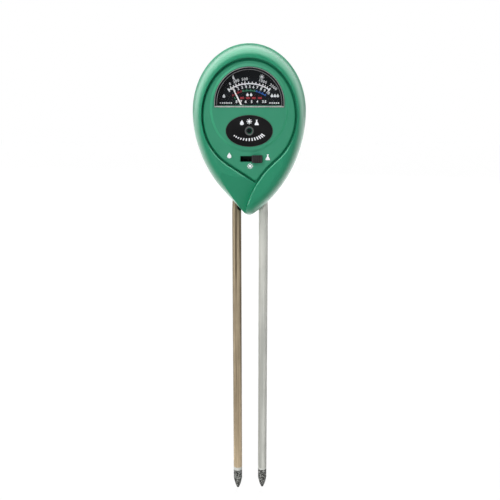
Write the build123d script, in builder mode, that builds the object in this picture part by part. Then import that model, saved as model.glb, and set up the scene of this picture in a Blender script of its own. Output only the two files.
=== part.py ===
from build123d import *
import os
from math import acos, atan2, cos, degrees, hypot, radians, sin, sqrt

os.makedirs("parts", exist_ok=True)

# All sizes are in millimetres. X points right seen from the front, the front faces -Y, Z points up.
# Z is 0 at the points of the probes and Y is 0 on the plane where the two shells meet.

# Head outline
head_width = 60.0
head_height = 90.0
head_depth = 34.0
probe_reach = 170.0
dome_share = 35 / 90
tip_round = 4.0
left_side_share = 0.925

# Shells
dome_squareness = 2.5
dome_steps = 6
front_inset = 8.0
rear_inset = 10.0
shell_wall = 2.0
front_wall = 3.5
parting_chamfer = 0.3
tongue_width = 1.0
tongue_height = 1.6
tongue_root = 3.0
fit = 0.1

# Pocket for the face panel, and the fold that runs on from its lower right edge
panel_half_width = 24.5
panel_rise = 28.8
panel_drop = 2.0
panel_side_share = 29.75 / 55
left_turn = 57.0
right_turn = 49.8
fold_share = 47.5 / 55
fold_overlap = 0.8
fold_end = 180.0
fold_drop = 2.0
fold_fade = 15.0
fold_width = 25.0
fold_slope = 18.0
fold_depth = 12.0
fold_lead_in = 2.2
fade_lead_in = 5.5
fold_round = 0.8
edge_steps = 4
edge_lift = 0.03
cutter_spare = 1.0
fade_lift = 0.05
panel_tip_round = 1.5
pocket_round = 0.9
pocket_wall = 2.0
ledge_width = 2.0
ledge_thickness = 2.0
pocket_depth = 5.0

# Face panel
flange_thickness = 2.0
groove_width = 0.75
face_rise = 1.4
face_round = 0.9
pad_rise = 0.6
pad_half_width = 20.2
pad_lift = 2.1
pad_gap = 1.5
pad_slope = 1.2
panel_wall = 2.4
panel_skin = 1.9
thick_part_rise = 5.1

# Meter window
window_width = 36.0
window_base_lift = 2.6
window_wall = 2.2
window_ledge = 0.6
window_seat = 1.4
window_proud = 0.3
window_bevel = 0.6
window_bevel_depth = 0.6

# Label plate and light sensor
label_half_width = 12.2
label_half_height = 8.1
label_drop = 9.2
label_recess = 0.3
label_thickness = 0.5
bezel_radius = 2.4
bezel_hole = 1.55
bezel_proud = 0.4
bezel_seat = 1.0
bezel_round = 0.3
lens_thickness = 0.7
light_hole = 1.2
cell_size = 4.4
cell_thickness = 0.8

# Housing screws
screw_radius = 1.1
screw_head_radius = 2.1
screw_head_height = 1.6
screw_hole = 1.3
screw_well = 2.4
well_wall = 0.9
boss_radius = 2.8
thread_fit = 0.03
thread_depth = 6.0
pilot_spare = 0.6
side_screw_x = 19.0
side_screw_drop = 2.5
side_screw_seat = 9.0
low_screw_seat = 6.0
drive_width = 0.6
drive_depth = 0.7

# Meter movement
pivot_drop = 4.5
bridge_gap = 0.9
movement_depth = 13.5
frame_thickness = 2.0
frame_half_width = 16.5
frame_up = 9.5
frame_down = 10.5
frame_corner = 3.0
ear_radius = 3.4
yoke_outer = 9.0
yoke_inner = 6.2
yoke_height = 8.8
cup_wall = 1.3
cup_height = 6.3
core_radius = 4.5
core_set = 5.0
core_length = 6.4
core_post_radius = 0.9
core_post_offset = 3.0
coil_inner = 4.85
former_wall = 0.25
coil_thickness = 0.7
coil_width = 2.2
coil_set = 3.8
coil_length = 8.9
staff_radius = 0.35
staff_gap = 0.05
pivot_radius = 0.15
pivot_length = 0.5
dial_set = 2.6
dial_thickness = 0.5
dial_radius = 18.6
dial_bottom_lift = 5.0
dial_post_x = 14.5
dial_post_lift = 6.3
dial_post_radius = 1.2
dial_pin_radius = 0.6
dial_pin_proud = 0.3
bridge_thickness = 0.9
bridge_half_height = 1.9
bridge_post_x = 11.6
bridge_post_radius = 1.1
bridge_end = 1.8
bridge_screw_radius = 0.6
bridge_screw_head = 1.1
bridge_screw_head_height = 0.6
bridge_screw_depth = 4.0
jewel_screw_radius = 0.9
jewel_front_proud = 0.7
jewel_gap = 0.1
spring_height = 0.3
spring_band = 0.1
spring_inner = 0.9
spring_pitch = 0.26
spring_half_turns = 8
front_spring_set = 1.25
rear_spring_gap = 0.2
stud_radius = 0.4

# Needle
needle_length = 19.3
needle_root_width = 1.1
needle_tip_width = 0.55
needle_thickness = 0.3
needle_set = 1.55
needle_lean = -26.7
needle_tail = 5.2
needle_arm = 4.6
arm_width = 0.5
hub_radius = 1.3
hub_proud = 0.15
weight_radius = 0.4
weight_length = 1.4
weight_inset = 1.2

# Switch
slot_x = 1.0
slot_share = 23.6 / 55
slot_width = 11.4
slot_height = 3.1
knob_rest = 2.95
knob_width = 5.4
knob_height = 3.9
knob_gap = 0.3
knob_groove = 0.5
knob_groove_depth = 0.45
knob_grooves = 4
knob_round = 0.4
stem_width = 5.0
stem_gap = 0.2
spigot_width = 3.0
spigot_height = 1.6
spigot_length = 0.6
case_side = 0.6
case_height = 6.0
case_depth = 4.6
case_wall = 0.5
ear_end = 1.45
ear_height = 3.0
ear_corner = 1.0
ear_thickness = 0.6
switch_screw_gap = 0.1
switch_screw_radius = 0.6
switch_screw_head = 1.05
switch_screw_head_height = 0.8
switch_screw_depth = 2.6
slider_gap = 0.3
slider_height = 4.4
slider_depth = 2.0
contact_thickness = 0.3
contact_bump = 0.35
base_thickness = 0.7
terminal_radius = 0.4
terminal_columns = 4
terminal_pitch = 2.9
terminal_rows = 2.4
terminal_head = 0.25
terminal_tail = 0.6

# Circuit board and leads
board_width = 24.0
board_up = 6.6
board_down = 6.4
board_gap = 0.8
board_thickness = 1.2
board_corner = 1.0
resistor_radius = 0.9
resistor_length = 4.4
resistor_span = 7.0
resistor_wire = 0.25
resistor_lift = 1.5
resistor_bend = 0.6
resistor_count = 3
resistor_pitch = 2.8
resistor_drop = 4.1
resistor_x = 1.0
lead_radius = 0.4
lead_bend = 1.6
meter_lead_x = 6.0
meter_lead_lift = 4.7
cell_lead_x = 1.3
cell_lead_rise = 1.0
rod_lead_drop = 1.3
tube_lead_lift = 2.5

# Probes
probe_pitch = 14.75
probe_shift = 0.4
probe_radius = 2.55
tube_bore = 1.4
rod_radius = 0.75
sleeve_fit = 0.05
point_height = 7.0
point_round = 0.8
point_turn = 66.0
tip_barrel = 5.6
left_ring = 2.0
right_ring = 1.2
right_lift = 0.5
neck_lift = 1.8
neck_radius = 2.1
rod_drop = 3.9
sleeve_drop = 2.5
tube_drop = 5.0
collar_radius = 3.8
collar_neck = 3.2
collar_drop = 0.6
collar_height = 8.4
collar_gap = 1.0
rib_lift = 3.0
rib_height = 2.4
rib_half_width = 11.6
rib_root = 0.5
probe_hole_gap = 0.12

# Sizes that follow from the ones above
half_width = head_width / 2
half_depth = head_depth / 2
dome_rise = head_height * dome_share
tip_drop = head_height - dome_rise
wide_z = probe_reach + tip_drop
side_rise = half_width**2 - tip_round**2 + (tip_drop - tip_round) ** 2
side_radius = side_rise / (2 * (half_width - tip_round))
side_centre = side_radius - half_width
left_side_radius = side_radius * left_side_share
left_centre = left_side_radius - half_width
panel_z = wide_z - panel_drop
panel_side_radius = tip_drop * panel_side_share
fold_radius = tip_drop * fold_share
panel_centre = panel_side_radius - panel_half_width
fold_reach = panel_side_radius + fold_radius
fold_x = fold_reach * cos(radians(right_turn)) - panel_centre
fold_z = panel_z - fold_reach * sin(radians(right_turn))
ledge_front = -(half_depth - pocket_depth)
ledge_rear = ledge_front + ledge_thickness
flange_front = ledge_front - flange_thickness
face_front = flange_front - face_rise
pad_front = face_front - pad_rise
skin_rear = pad_front + panel_skin
pad_z = wide_z + pad_lift
window_radius = window_width / 2
window_bottom = wide_z + window_base_lift
window_z = window_bottom + window_wall
window_rear = pad_front + window_seat
label_z = wide_z - label_drop
label_rear = pad_front + label_recess
bezel_rear = pad_front + bezel_seat
pivot_z = wide_z - pivot_drop
bridge_front = skin_rear + bridge_gap
needle_front = bridge_front + needle_set
front_spring_rear = bridge_front + front_spring_set
dial_front = bridge_front + dial_set
coil_front = bridge_front + coil_set
coil_rear = coil_front + coil_length
core_front = bridge_front + core_set
core_rear = core_front + core_length
frame_front = bridge_front + movement_depth
rear_spring_rear = frame_front - rear_spring_gap
frame_rear = frame_front + frame_thickness
side_screw_z = wide_z - side_screw_drop
side_screws = [(-side_screw_x, side_screw_z), (side_screw_x, side_screw_z)]
yoke_front = frame_front - yoke_height
bridge_rear = bridge_front + bridge_thickness
coil_outer = coil_inner + former_wall + coil_thickness
dial_rear = dial_front + dial_thickness
dial_bottom = pivot_z + dial_bottom_lift
dial_posts = [(-dial_post_x, pivot_z + dial_post_lift), (dial_post_x, pivot_z + dial_post_lift)]
bridge_posts = [(-bridge_post_x, pivot_z), (bridge_post_x, pivot_z)]
core_posts = [(0, pivot_z - core_post_offset), (0, pivot_z + core_post_offset)]
spring_outer = spring_inner + spring_half_turns * spring_pitch / 2
spring_stud = [(spring_outer + spring_band / 2 + stud_radius, pivot_z)]
slot_z = wide_z - tip_drop * slot_share
pad_half_height = pad_z - slot_z - knob_height / 2 - pad_gap
case_width = slot_width + 2 * case_side
switch_screw_reach = case_width / 2 + switch_screw_head + switch_screw_gap
ear_reach = switch_screw_reach + ear_end
board_top = slot_z + board_up
board_bottom = slot_z - board_down
rod_top = slot_z - rod_drop
sleeve_top = rod_top - sleeve_drop
tube_top = rod_top - tube_drop
collar_top = tube_top - collar_drop
collar_bottom = collar_top - collar_height
rib_bottom = collar_bottom + rib_lift
rib_top = rib_bottom + rib_height
rib_z = (rib_bottom + rib_top) / 2
low_screw = [(0, rib_z)]
neck_start = probe_reach + neck_lift
neck_end = collar_bottom - collar_gap
knob_x = slot_x + knob_rest
stem_height = slot_height - 2 * stem_gap
knob_rear = face_front - knob_gap
case_rear = ledge_front + case_depth
base_front = case_rear - base_thickness
slider_front = ledge_front + case_wall + slider_gap
slider_rear = slider_front + slider_depth
contact_rear = slider_rear + contact_thickness
switch_screws_at = [(slot_x - switch_screw_reach, slot_z), (slot_x + switch_screw_reach, slot_z)]
terminals_at = [
    (slot_x + (column - (terminal_columns - 1) / 2) * terminal_pitch, slot_z + row * terminal_rows / 2)
    for column in range(terminal_columns)
    for row in (-1, 1)
]
board_front = case_rear + board_gap
board_rear = board_front + board_thickness
left_probe_x = probe_shift - probe_pitch / 2
right_probe_x = probe_shift + probe_pitch / 2
sleeve_radius = tube_bore - sleeve_fit
sleeve_bore = rod_radius + sleeve_fit
cell_z = label_z
needle_rear = needle_front + needle_thickness
collet_radius = spring_inner - spring_band / 2
needle_up = Vector(sin(radians(needle_lean)), 0, cos(radians(needle_lean)))
needle_side = Vector(cos(radians(needle_lean)), 0, -sin(radians(needle_lean)))
saddle = [
    (0, 0),
    (probe_radius + probe_hole_gap, 0),
    (probe_radius + probe_hole_gap, neck_end),
    (collar_radius + fit, neck_end),
    (collar_radius + fit, rib_bottom),
    (collar_neck + fit, rib_bottom),
    (collar_neck + fit, rib_top),
    (collar_radius + fit, rib_top),
    (collar_radius + fit, sleeve_top),
    (0, sleeve_top),
]


def facing(depth):
    """Plane at the given depth that faces the front of the tester."""
    return Plane.XZ.offset(-depth)


def head_outline(depth, inset):
    """Teardrop outline of the head, drawn inwards by an inset; its left side runs straight to the tip."""
    radius = side_radius - inset
    drop = sqrt((radius - tip_round) ** 2 - side_centre**2)
    turn = degrees(atan2(drop, side_centre))
    left_radius = left_side_radius - inset
    left = atan2(drop, left_centre) - acos((left_radius - tip_round) / hypot(left_centre, drop))
    run = Vector(cos(left), sin(left))
    with BuildSketch(facing(depth)) as outline:
        with BuildLine():
            CenterArc((-side_centre, wide_z), radius, 0, -turn)
            CenterArc((0, wide_z - drop), tip_round, -turn, turn + degrees(left) - 180)
            Line(Vector(0, wide_z - drop) - run * tip_round, Vector(left_centre, wide_z) - run * left_radius)
            CenterArc((left_centre, wide_z), left_radius, 180 + degrees(left), -degrees(left))
            EllipticalCenterArc((0, wide_z), half_width - inset, dome_rise - inset, 0, arc_size=180)
        make_face()
    return outline.sketch


def dome_outlines(depth, start, inset):
    """Outlines that round a shell over from the parting plane to its flat cap."""
    power = 2 / dome_squareness
    outlines = []
    for step in range(dome_steps + 1):
        turn = radians(90 * step / dome_steps)
        outlines.append(
            head_outline(depth * sin(turn) ** power, start + inset * (1 - abs(cos(turn)) ** power)),
        )
    return outlines


def panel_points(inset):
    """Start of the left straight edge of the panel pocket and its lower tip, drawn inwards by an inset."""
    radius = panel_side_radius - inset
    left = radians(left_turn)
    start = Vector(panel_centre - radius * cos(left), panel_z - radius * sin(left))
    run = Vector(sin(left), -cos(left))
    gap = start - Vector(fold_x, fold_z)
    back = gap.dot(run)
    return start, start + run * (-back - sqrt(back**2 - gap.length**2 + (fold_radius + inset) ** 2))


def panel_outline(depth, inset):
    """Outline of the panel pocket, drawn inwards by an inset."""
    radius = panel_side_radius - inset
    start, tip = panel_points(inset)
    tip_turn = degrees(atan2(tip.Y - fold_z, tip.X - fold_x))
    with BuildSketch(facing(depth)) as outline:
        with BuildLine():
            CenterArc((-panel_centre, panel_z), radius, 0, -right_turn)
            CenterArc((fold_x, fold_z), fold_radius + inset, 180 - right_turn, tip_turn - 180 + right_turn)
            Line(tip, start)
            CenterArc((panel_centre, panel_z), radius, 180 + left_turn, -left_turn)
            EllipticalCenterArc((0, panel_z), panel_half_width - inset, panel_rise - inset, 0, arc_size=180)
        make_face()
        fillet(outline.vertices().sort_by(Axis.Y)[0], panel_tip_round)
    return outline.sketch


def fold_point(turn, grow):
    """Point on the fold line, with the line moved to the right by a growth."""
    radius = fold_radius - grow
    return Vector(fold_x + radius * cos(radians(turn)), fold_z + radius * sin(radians(turn)))


panel_tip = panel_points(0)[1]
fold_start = degrees(atan2(panel_tip.Y - fold_z, panel_tip.X - fold_x)) - fold_overlap
fold_run = (fold_point(fold_end, 0) - fold_point(fold_start, 0)).normalized()
fold_side = Vector(fold_run.Y, -fold_run.X)
fade_from = fold_point(fold_start, 0) + fold_side * fold_fade
fade_radius = (fold_fade**2 + fold_drop**2) / (2 * fold_drop)
strip_from = fold_point(fold_start, 0) + fold_side * fold_width - fold_run * fade_lead_in
strip_to = fold_point(fold_end, 0) + fold_side * fold_width
slope = radians(fold_slope)
lobe_down = Vector(fold_run.X * cos(slope), sin(slope), fold_run.Y * cos(slope))
lobe_side = Vector(fold_side.X, 0, fold_side.Y)
lobe_back = lobe_down.cross(lobe_side)


def fold_outline(depth, grow):
    """Strip left of the fold line that starts inside the panel pocket."""
    with BuildSketch(facing(depth)) as outline:
        with BuildLine():
            CenterArc((fold_x, fold_z), fold_radius - grow, fold_start, fold_end - fold_start)
            Polyline(
                fold_point(fold_end, grow),
                strip_to,
                strip_from,
                panel_tip + Vector(0, fold_lead_in),
                fold_point(fold_start, grow),
            )
        make_face()
    return outline.sketch


def rounded_edge(radius):
    """Depths and growths that round an edge of the front cap over."""
    turns = [radians(90 * step / edge_steps) for step in range(edge_steps + 1)]
    return [(-half_depth - edge_lift + radius * (1 - sin(turn)), radius * (1 - cos(turn))) for turn in turns]


def window_outline(depth, inset):
    """Outline of the meter window: a half disc on a low rectangle."""
    radius = window_radius - inset
    with BuildSketch(facing(depth)) as outline:
        with BuildLine():
            CenterArc((0, window_z), radius, 0, 180)
            Polyline(
                (-radius, window_z), (-radius, window_bottom + inset), (radius, window_bottom + inset),
                (radius, window_z),
            )
        make_face()
    return outline.sketch


def pad_outline(depth, inset):
    """Oval of the raised pad, drawn inwards by an inset."""
    with BuildSketch(facing(depth)) as outline:
        with Locations((0, pad_z)):
            Ellipse(pad_half_width - inset, pad_half_height - inset)
    return outline.sketch


def studs(points, radius, rear, front, mode=Mode.ADD):
    """Round studs or holes along Y, one at each point, between two depths."""
    with BuildSketch(facing(rear)) as ends:
        with Locations(*points):
            Circle(radius)
    extrude(ends.sketch, amount=rear - front, mode=mode)


def block(centre, width, height, rear, front, corner=0, lean=0, mode=Mode.ADD):
    """Rectangular block along Y between two depths, with rounded corners or leant over if asked."""
    with BuildSketch(facing(rear)) as end:
        with Locations(Location((*centre, 0), (0, 0, -lean))):
            if corner:
                RectangleRounded(width, height, corner)
            else:
                Rectangle(width, height)
    extrude(end.sketch, amount=rear - front, mode=mode)


def turned(x, profile, mode=Mode.ADD):
    """Round bar along Z at x, turned from a profile of radius and height points."""
    with BuildSketch(Plane.XZ) as section:
        with BuildLine():
            Polyline(*[(x + radius, height) for radius, height in profile], close=True)
        make_face()
    revolve(section.sketch, axis=Axis((x, 0, 0), (0, 0, 1)), mode=mode)


def lead(points, bend, radius):
    """Round lead along a path of straight runs and bends."""
    with BuildLine() as path:
        FilletPolyline(*points, radius=bend)
    with BuildSketch(Plane(origin=path.line @ 0, z_dir=path.line % 0)) as end:
        Circle(radius)
    sweep(end.sketch, path=path.line)


def screw(points, radius, length, head_radius, head_height, seat, facing_rear):
    """Screws along Y whose heads sit at a depth, pointing to the front when the head faces the rear."""
    if facing_rear:
        studs(points, head_radius, seat + head_height, seat)
        studs(points, radius, seat, seat - length)
        for point in points:
            block(point, 2 * head_radius, drive_width, seat + head_height, seat + head_height - drive_depth,
                  mode=Mode.SUBTRACT)
    else:
        studs(points, head_radius, seat, seat - head_height)
        studs(points, radius, seat + length, seat)
        for point in points:
            block(
                point, 2 * head_radius, drive_width / 2, seat - head_height + drive_depth / 2,
                seat - head_height, mode=Mode.SUBTRACT,
            )


# Space inside the front shell: a dome less the cup that carries the face panel
with BuildPart() as front_space:
    loft(dome_outlines(-(half_depth - front_wall), shell_wall, front_inset - shell_wall))
    extrude(panel_outline(ledge_rear, -pocket_wall), amount=half_depth, mode=Mode.SUBTRACT)
    with BuildSketch(Plane(
        origin=(panel_tip.X, shell_wall + fold_drop - half_depth, panel_tip.Y),
        x_dir=lobe_side,
        z_dir=-lobe_back,
    )):
        Rectangle(2 * head_height, 2 * head_height)
    extrude(amount=head_height, mode=Mode.SUBTRACT)

# Cutter for the panel pocket, which rounds the rim over at its mouth
with BuildPart() as pocket_cutter:
    extrude(panel_outline(ledge_front, 0), amount=pocket_depth - pocket_round + edge_lift)
    loft([panel_outline(depth, -grow) for depth, grow in rounded_edge(pocket_round)])
    extrude(panel_outline(-half_depth - edge_lift, -pocket_round), amount=cutter_spare)

# Cutter for the fold: everything left of the fold line that lies in front of a wide, sloping cylinder
with BuildPart() as fold_cutter:
    extrude(fold_outline(-half_depth + fold_depth, 0), amount=fold_depth - fold_round + edge_lift)
    loft([fold_outline(depth, grow) for depth, grow in rounded_edge(fold_round)])
    extrude(fold_outline(-half_depth - edge_lift, fold_round), amount=cutter_spare)
    with BuildSketch(Plane(
        origin=Vector(fade_from.X, -half_depth - fade_lift, fade_from.Y) + lobe_back * fade_radius,
        x_dir=lobe_back,
        z_dir=lobe_down,
    )):
        Circle(fade_radius)
    extrude(amount=head_height, both=True, mode=Mode.SUBTRACT)

# Front shell with the panel pocket, the folded lobes, the probe saddle and the low screw boss
with BuildPart() as front_shell:
    loft(dome_outlines(-half_depth, 0, front_inset))
    add(front_space.part, mode=Mode.SUBTRACT)
    add(pocket_cutter.part, mode=Mode.SUBTRACT)
    extrude(panel_outline(0, ledge_width), amount=half_depth, mode=Mode.SUBTRACT)
    chamfer(front_shell.faces().sort_by(Axis.Y)[-1].outer_wire().edges(), parting_chamfer)
    block((0, rib_z), 2 * rib_half_width, rib_height, 0, front_wall - half_depth - rib_root)
    studs(low_screw, boss_radius, 0, front_wall - half_depth - rib_root)
    add(fold_cutter.part, mode=Mode.SUBTRACT)
    studs(low_screw, screw_radius + thread_fit, 0, -thread_depth - pilot_spare, mode=Mode.SUBTRACT)
    for side in (left_probe_x, right_probe_x):
        turned(side, saddle, mode=Mode.SUBTRACT)
front_shell.part.label = "front_shell"
export_step(front_shell.part, "parts/front_shell.step")

# Rear shell with the tongue, which stops above the probes, the screw posts, the flat back and the
# other half of the probe saddle
with BuildPart() as rear_shell:
    loft(dome_outlines(half_depth, 0, rear_inset))
    loft(dome_outlines(half_depth - shell_wall, shell_wall, rear_inset - shell_wall), mode=Mode.SUBTRACT)
    chamfer(rear_shell.faces().sort_by(Axis.Y)[0].outer_wire().edges(), parting_chamfer)
    extrude(head_outline(tongue_root, shell_wall / 2), amount=tongue_root)
    extrude(head_outline(0, shell_wall + fit), amount=tongue_height)
    extrude(
        head_outline(tongue_root, shell_wall + fit + tongue_width), amount=tongue_root + tongue_height,
        mode=Mode.SUBTRACT,
    )
    block((0, (probe_reach + sleeve_top) / 2), head_width, sleeve_top - probe_reach, 0, -tongue_height,
          mode=Mode.SUBTRACT)
    block((0, rib_z), 2 * rib_half_width, rib_height, half_depth - shell_wall + rib_root, 0)
    studs(side_screws, screw_well + well_wall, half_depth - shell_wall + rib_root, frame_rear)
    studs(low_screw, screw_well + well_wall, half_depth - shell_wall + rib_root, 0)
    studs(side_screws, screw_well, half_depth, side_screw_seat, mode=Mode.SUBTRACT)
    studs(low_screw, screw_well, half_depth, low_screw_seat, mode=Mode.SUBTRACT)
    studs(side_screws + low_screw, screw_hole, half_depth, -tongue_height, mode=Mode.SUBTRACT)
    for side in (left_probe_x, right_probe_x):
        turned(side, saddle, mode=Mode.SUBTRACT)
rear_shell.part.label = "rear_shell"
export_step(rear_shell.part, "parts/rear_shell.step")

# Hollow behind the upper part of the face panel; the part that carries the switch stays thick
with BuildPart() as panel_hollow:
    extrude(panel_outline(ledge_front, panel_wall), amount=ledge_front - skin_rear)
    block((0, slot_z + thick_part_rise - panel_rise), head_width, 2 * panel_rise, ledge_front, pad_front,
          mode=Mode.SUBTRACT)

# Face panel: flange in the pocket, raised face, oval pad, window seat, label recess, switch slot, bosses
with BuildPart() as face_panel:
    extrude(panel_outline(ledge_front, fit), amount=flange_thickness)
    extrude(panel_outline(flange_front, groove_width), amount=face_rise)
    fillet(face_panel.faces().sort_by(Axis.Y)[0].outer_wire().edges(), face_round)
    loft([pad_outline(face_front, 0), pad_outline(pad_front, pad_slope)])
    add(panel_hollow.part, mode=Mode.SUBTRACT)
    studs(side_screws, boss_radius, frame_front, skin_rear)
    studs(
        side_screws, screw_radius + thread_fit, frame_front, frame_front - thread_depth - pilot_spare,
        mode=Mode.SUBTRACT,
    )
    extrude(window_outline(window_rear, 0), amount=half_depth, mode=Mode.SUBTRACT)
    extrude(window_outline(ledge_front, window_ledge), amount=half_depth, mode=Mode.SUBTRACT)
    with BuildSketch(facing(label_rear)):
        with Locations((0, label_z)):
            Ellipse(label_half_width, label_half_height)
    extrude(amount=half_depth, mode=Mode.SUBTRACT)
    studs([(0, label_z)], bezel_radius, bezel_rear, -half_depth, mode=Mode.SUBTRACT)
    studs([(0, label_z)], light_hole, ledge_front, -half_depth, mode=Mode.SUBTRACT)
    block((slot_x, slot_z), slot_width, slot_height, ledge_front, -half_depth, mode=Mode.SUBTRACT)
    studs(
        switch_screws_at, switch_screw_radius + thread_fit, ledge_front, ledge_front - switch_screw_depth,
        mode=Mode.SUBTRACT,
    )
face_panel.part.label = "face_panel"
export_step(face_panel.part, "parts/face_panel.step")

# Three screws from the rear: two reach the face panel, the low one reaches the front shell
with BuildPart() as housing_screws:
    screw(
        side_screws, screw_radius, side_screw_seat - frame_front + thread_depth, screw_head_radius,
        screw_head_height, side_screw_seat, True,
    )
    screw(
        low_screw, screw_radius, low_screw_seat + thread_depth, screw_head_radius, screw_head_height,
        low_screw_seat, True,
    )
housing_screws.part.label = "housing_screws"
export_step(housing_screws.part, "parts/housing_screws.step")

# Clear meter window with a bevelled frame
with BuildPart() as meter_window:
    extrude(window_outline(window_rear, fit / 2), amount=window_seat + window_proud)
    loft([
        window_outline(pad_front - window_proud, fit / 2 + window_ledge),
        window_outline(pad_front - window_proud + window_bevel_depth, fit / 2 + window_ledge + window_bevel),
    ], mode=Mode.SUBTRACT)
meter_window.part.label = "meter_window"
export_step(meter_window.part, "parts/meter_window.step")

# Oval label plate round the light sensor
with BuildPart() as label_plate:
    with BuildSketch(facing(label_rear)):
        with Locations((0, label_z)):
            Ellipse(label_half_width - fit / 2, label_half_height - fit / 2)
            Circle(bezel_radius + fit / 2, mode=Mode.SUBTRACT)
    extrude(amount=label_thickness)
label_plate.part.label = "label_plate"
export_step(label_plate.part, "parts/label_plate.step")

# Bezel ring of the light sensor
with BuildPart() as sensor_bezel:
    studs([(0, label_z)], bezel_radius - fit / 2, bezel_rear, pad_front - bezel_proud)
    studs([(0, label_z)], bezel_hole, bezel_rear, pad_front - bezel_proud, mode=Mode.SUBTRACT)
    fillet(sensor_bezel.faces().sort_by(Axis.Y)[0].edges(), bezel_round)
sensor_bezel.part.label = "sensor_bezel"
export_step(sensor_bezel.part, "parts/sensor_bezel.step")

# Clear disc in the bezel
with BuildPart() as sensor_window:
    studs([(0, label_z)], bezel_hole - fit / 2, bezel_rear, bezel_rear - lens_thickness)
sensor_window.part.label = "sensor_window"
export_step(sensor_window.part, "parts/sensor_window.step")

# Light cell glued behind the panel
with BuildPart() as light_cell:
    block((0, cell_z), cell_size, cell_size, skin_rear + cell_thickness, skin_rear)
light_cell.part.label = "light_cell"
export_step(light_cell.part, "parts/light_cell.step")

# Meter frame: plate with two ears, cup for the yoke, posts for the core, the dial and the bridge
with BuildPart() as meter_frame:
    with BuildSketch(facing(frame_rear)):
        with Locations((0, pivot_z + (frame_up - frame_down) / 2)):
            RectangleRounded(2 * frame_half_width, frame_up + frame_down, frame_corner)
        with Locations(*side_screws):
            Circle(ear_radius)
        with Locations((0, side_screw_z)):
            Rectangle(2 * side_screw_x, 2 * ear_radius)
        with Locations(*side_screws):
            Circle(screw_hole, mode=Mode.SUBTRACT)
        with Locations((0, pivot_z)):
            Circle(jewel_screw_radius + thread_fit, mode=Mode.SUBTRACT)
    extrude(amount=frame_thickness)
    studs([(0, pivot_z)], yoke_outer + cup_wall, frame_front, frame_front - cup_height)
    studs(
        [(0, pivot_z)], yoke_outer + thread_fit, frame_front, frame_front - cup_height, mode=Mode.SUBTRACT,
    )
    studs(core_posts, core_post_radius, frame_front, core_rear)
    studs(dial_posts, dial_post_radius, frame_front, dial_rear)
    studs(dial_posts, dial_pin_radius, dial_rear, dial_front - dial_pin_proud)
    studs(bridge_posts, bridge_post_radius, frame_front, bridge_rear)
    studs(
        bridge_posts, bridge_screw_radius + thread_fit, bridge_rear + bridge_screw_depth, bridge_rear,
        mode=Mode.SUBTRACT,
    )
    studs(spring_stud, stud_radius, frame_front, rear_spring_rear - spring_height)
meter_frame.part.label = "meter_frame"
export_step(meter_frame.part, "parts/meter_frame.step")

# Soft iron ring round the coil
with BuildPart() as yoke_ring:
    studs([(0, pivot_z)], yoke_outer, frame_front, yoke_front)
    studs([(0, pivot_z)], yoke_inner, frame_front, yoke_front, mode=Mode.SUBTRACT)
yoke_ring.part.label = "yoke_ring"
export_step(yoke_ring.part, "parts/yoke_ring.step")

# Magnet inside the coil
with BuildPart() as core_magnet:
    studs([(0, pivot_z)], core_radius, core_rear, core_front)
core_magnet.part.label = "core_magnet"
export_step(core_magnet.part, "parts/core_magnet.step")

# Dial plate behind the window
with BuildPart() as dial_plate:
    with BuildSketch(facing(dial_rear)):
        with BuildLine():
            CenterArc((0, window_z), dial_radius, 0, 180)
            Polyline(
                (-dial_radius, window_z), (-dial_radius, dial_bottom), (dial_radius, dial_bottom),
                (dial_radius, window_z),
            )
        make_face()
        with Locations(*dial_posts):
            Circle(dial_pin_radius + thread_fit, mode=Mode.SUBTRACT)
    extrude(amount=dial_thickness)
dial_plate.part.label = "dial_plate"
export_step(dial_plate.part, "parts/dial_plate.step")

# Bridge that holds the front jewel screw and the outer end of the front hairspring
with BuildPart() as front_bridge:
    with BuildSketch(facing(bridge_rear)):
        with Locations((0, pivot_z)):
            SlotOverall(2 * (bridge_post_x + bridge_end), 2 * bridge_half_height)
            Circle(jewel_screw_radius + thread_fit, mode=Mode.SUBTRACT)
        with Locations(*bridge_posts):
            Circle(bridge_screw_radius + thread_fit, mode=Mode.SUBTRACT)
    extrude(amount=bridge_thickness)
    studs(spring_stud, stud_radius, front_spring_rear, bridge_rear)
front_bridge.part.label = "front_bridge"
export_step(front_bridge.part, "parts/front_bridge.step")

# Two screws through the bridge into its posts
with BuildPart() as bridge_screws:
    screw(
        bridge_posts, bridge_screw_radius, bridge_screw_depth, bridge_screw_head, bridge_screw_head_height,
        bridge_front, False,
    )
bridge_screws.part.label = "bridge_screws"
export_step(bridge_screws.part, "parts/bridge_screws.step")

# Jewel screws that carry the two pivots
with BuildPart() as front_jewel_screw:
    studs([(0, pivot_z)], jewel_screw_radius, bridge_rear, bridge_front - jewel_front_proud)
    studs(
        [(0, pivot_z)], pivot_radius + jewel_gap, bridge_rear, bridge_rear - pivot_length - jewel_gap,
        mode=Mode.SUBTRACT,
    )
    block(
        (0, pivot_z), 2 * jewel_screw_radius, drive_width / 2,
        bridge_front - jewel_front_proud + drive_depth / 2, bridge_front - jewel_front_proud,
        mode=Mode.SUBTRACT,
    )
front_jewel_screw.part.label = "front_jewel_screw"
export_step(front_jewel_screw.part, "parts/front_jewel_screw.step")

with BuildPart() as rear_jewel_screw:
    studs([(0, pivot_z)], jewel_screw_radius, frame_rear + jewel_front_proud, frame_front + fit)
    studs(
        [(0, pivot_z)], pivot_radius + jewel_gap, frame_front + fit + pivot_length + jewel_gap,
        frame_front + fit, mode=Mode.SUBTRACT,
    )
    block((0, pivot_z), 2 * jewel_screw_radius, drive_width / 2, frame_rear + jewel_front_proud,
          frame_rear + jewel_front_proud - drive_depth / 2, mode=Mode.SUBTRACT)
rear_jewel_screw.part.label = "rear_jewel_screw"
export_step(rear_jewel_screw.part, "parts/rear_jewel_screw.step")


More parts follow.
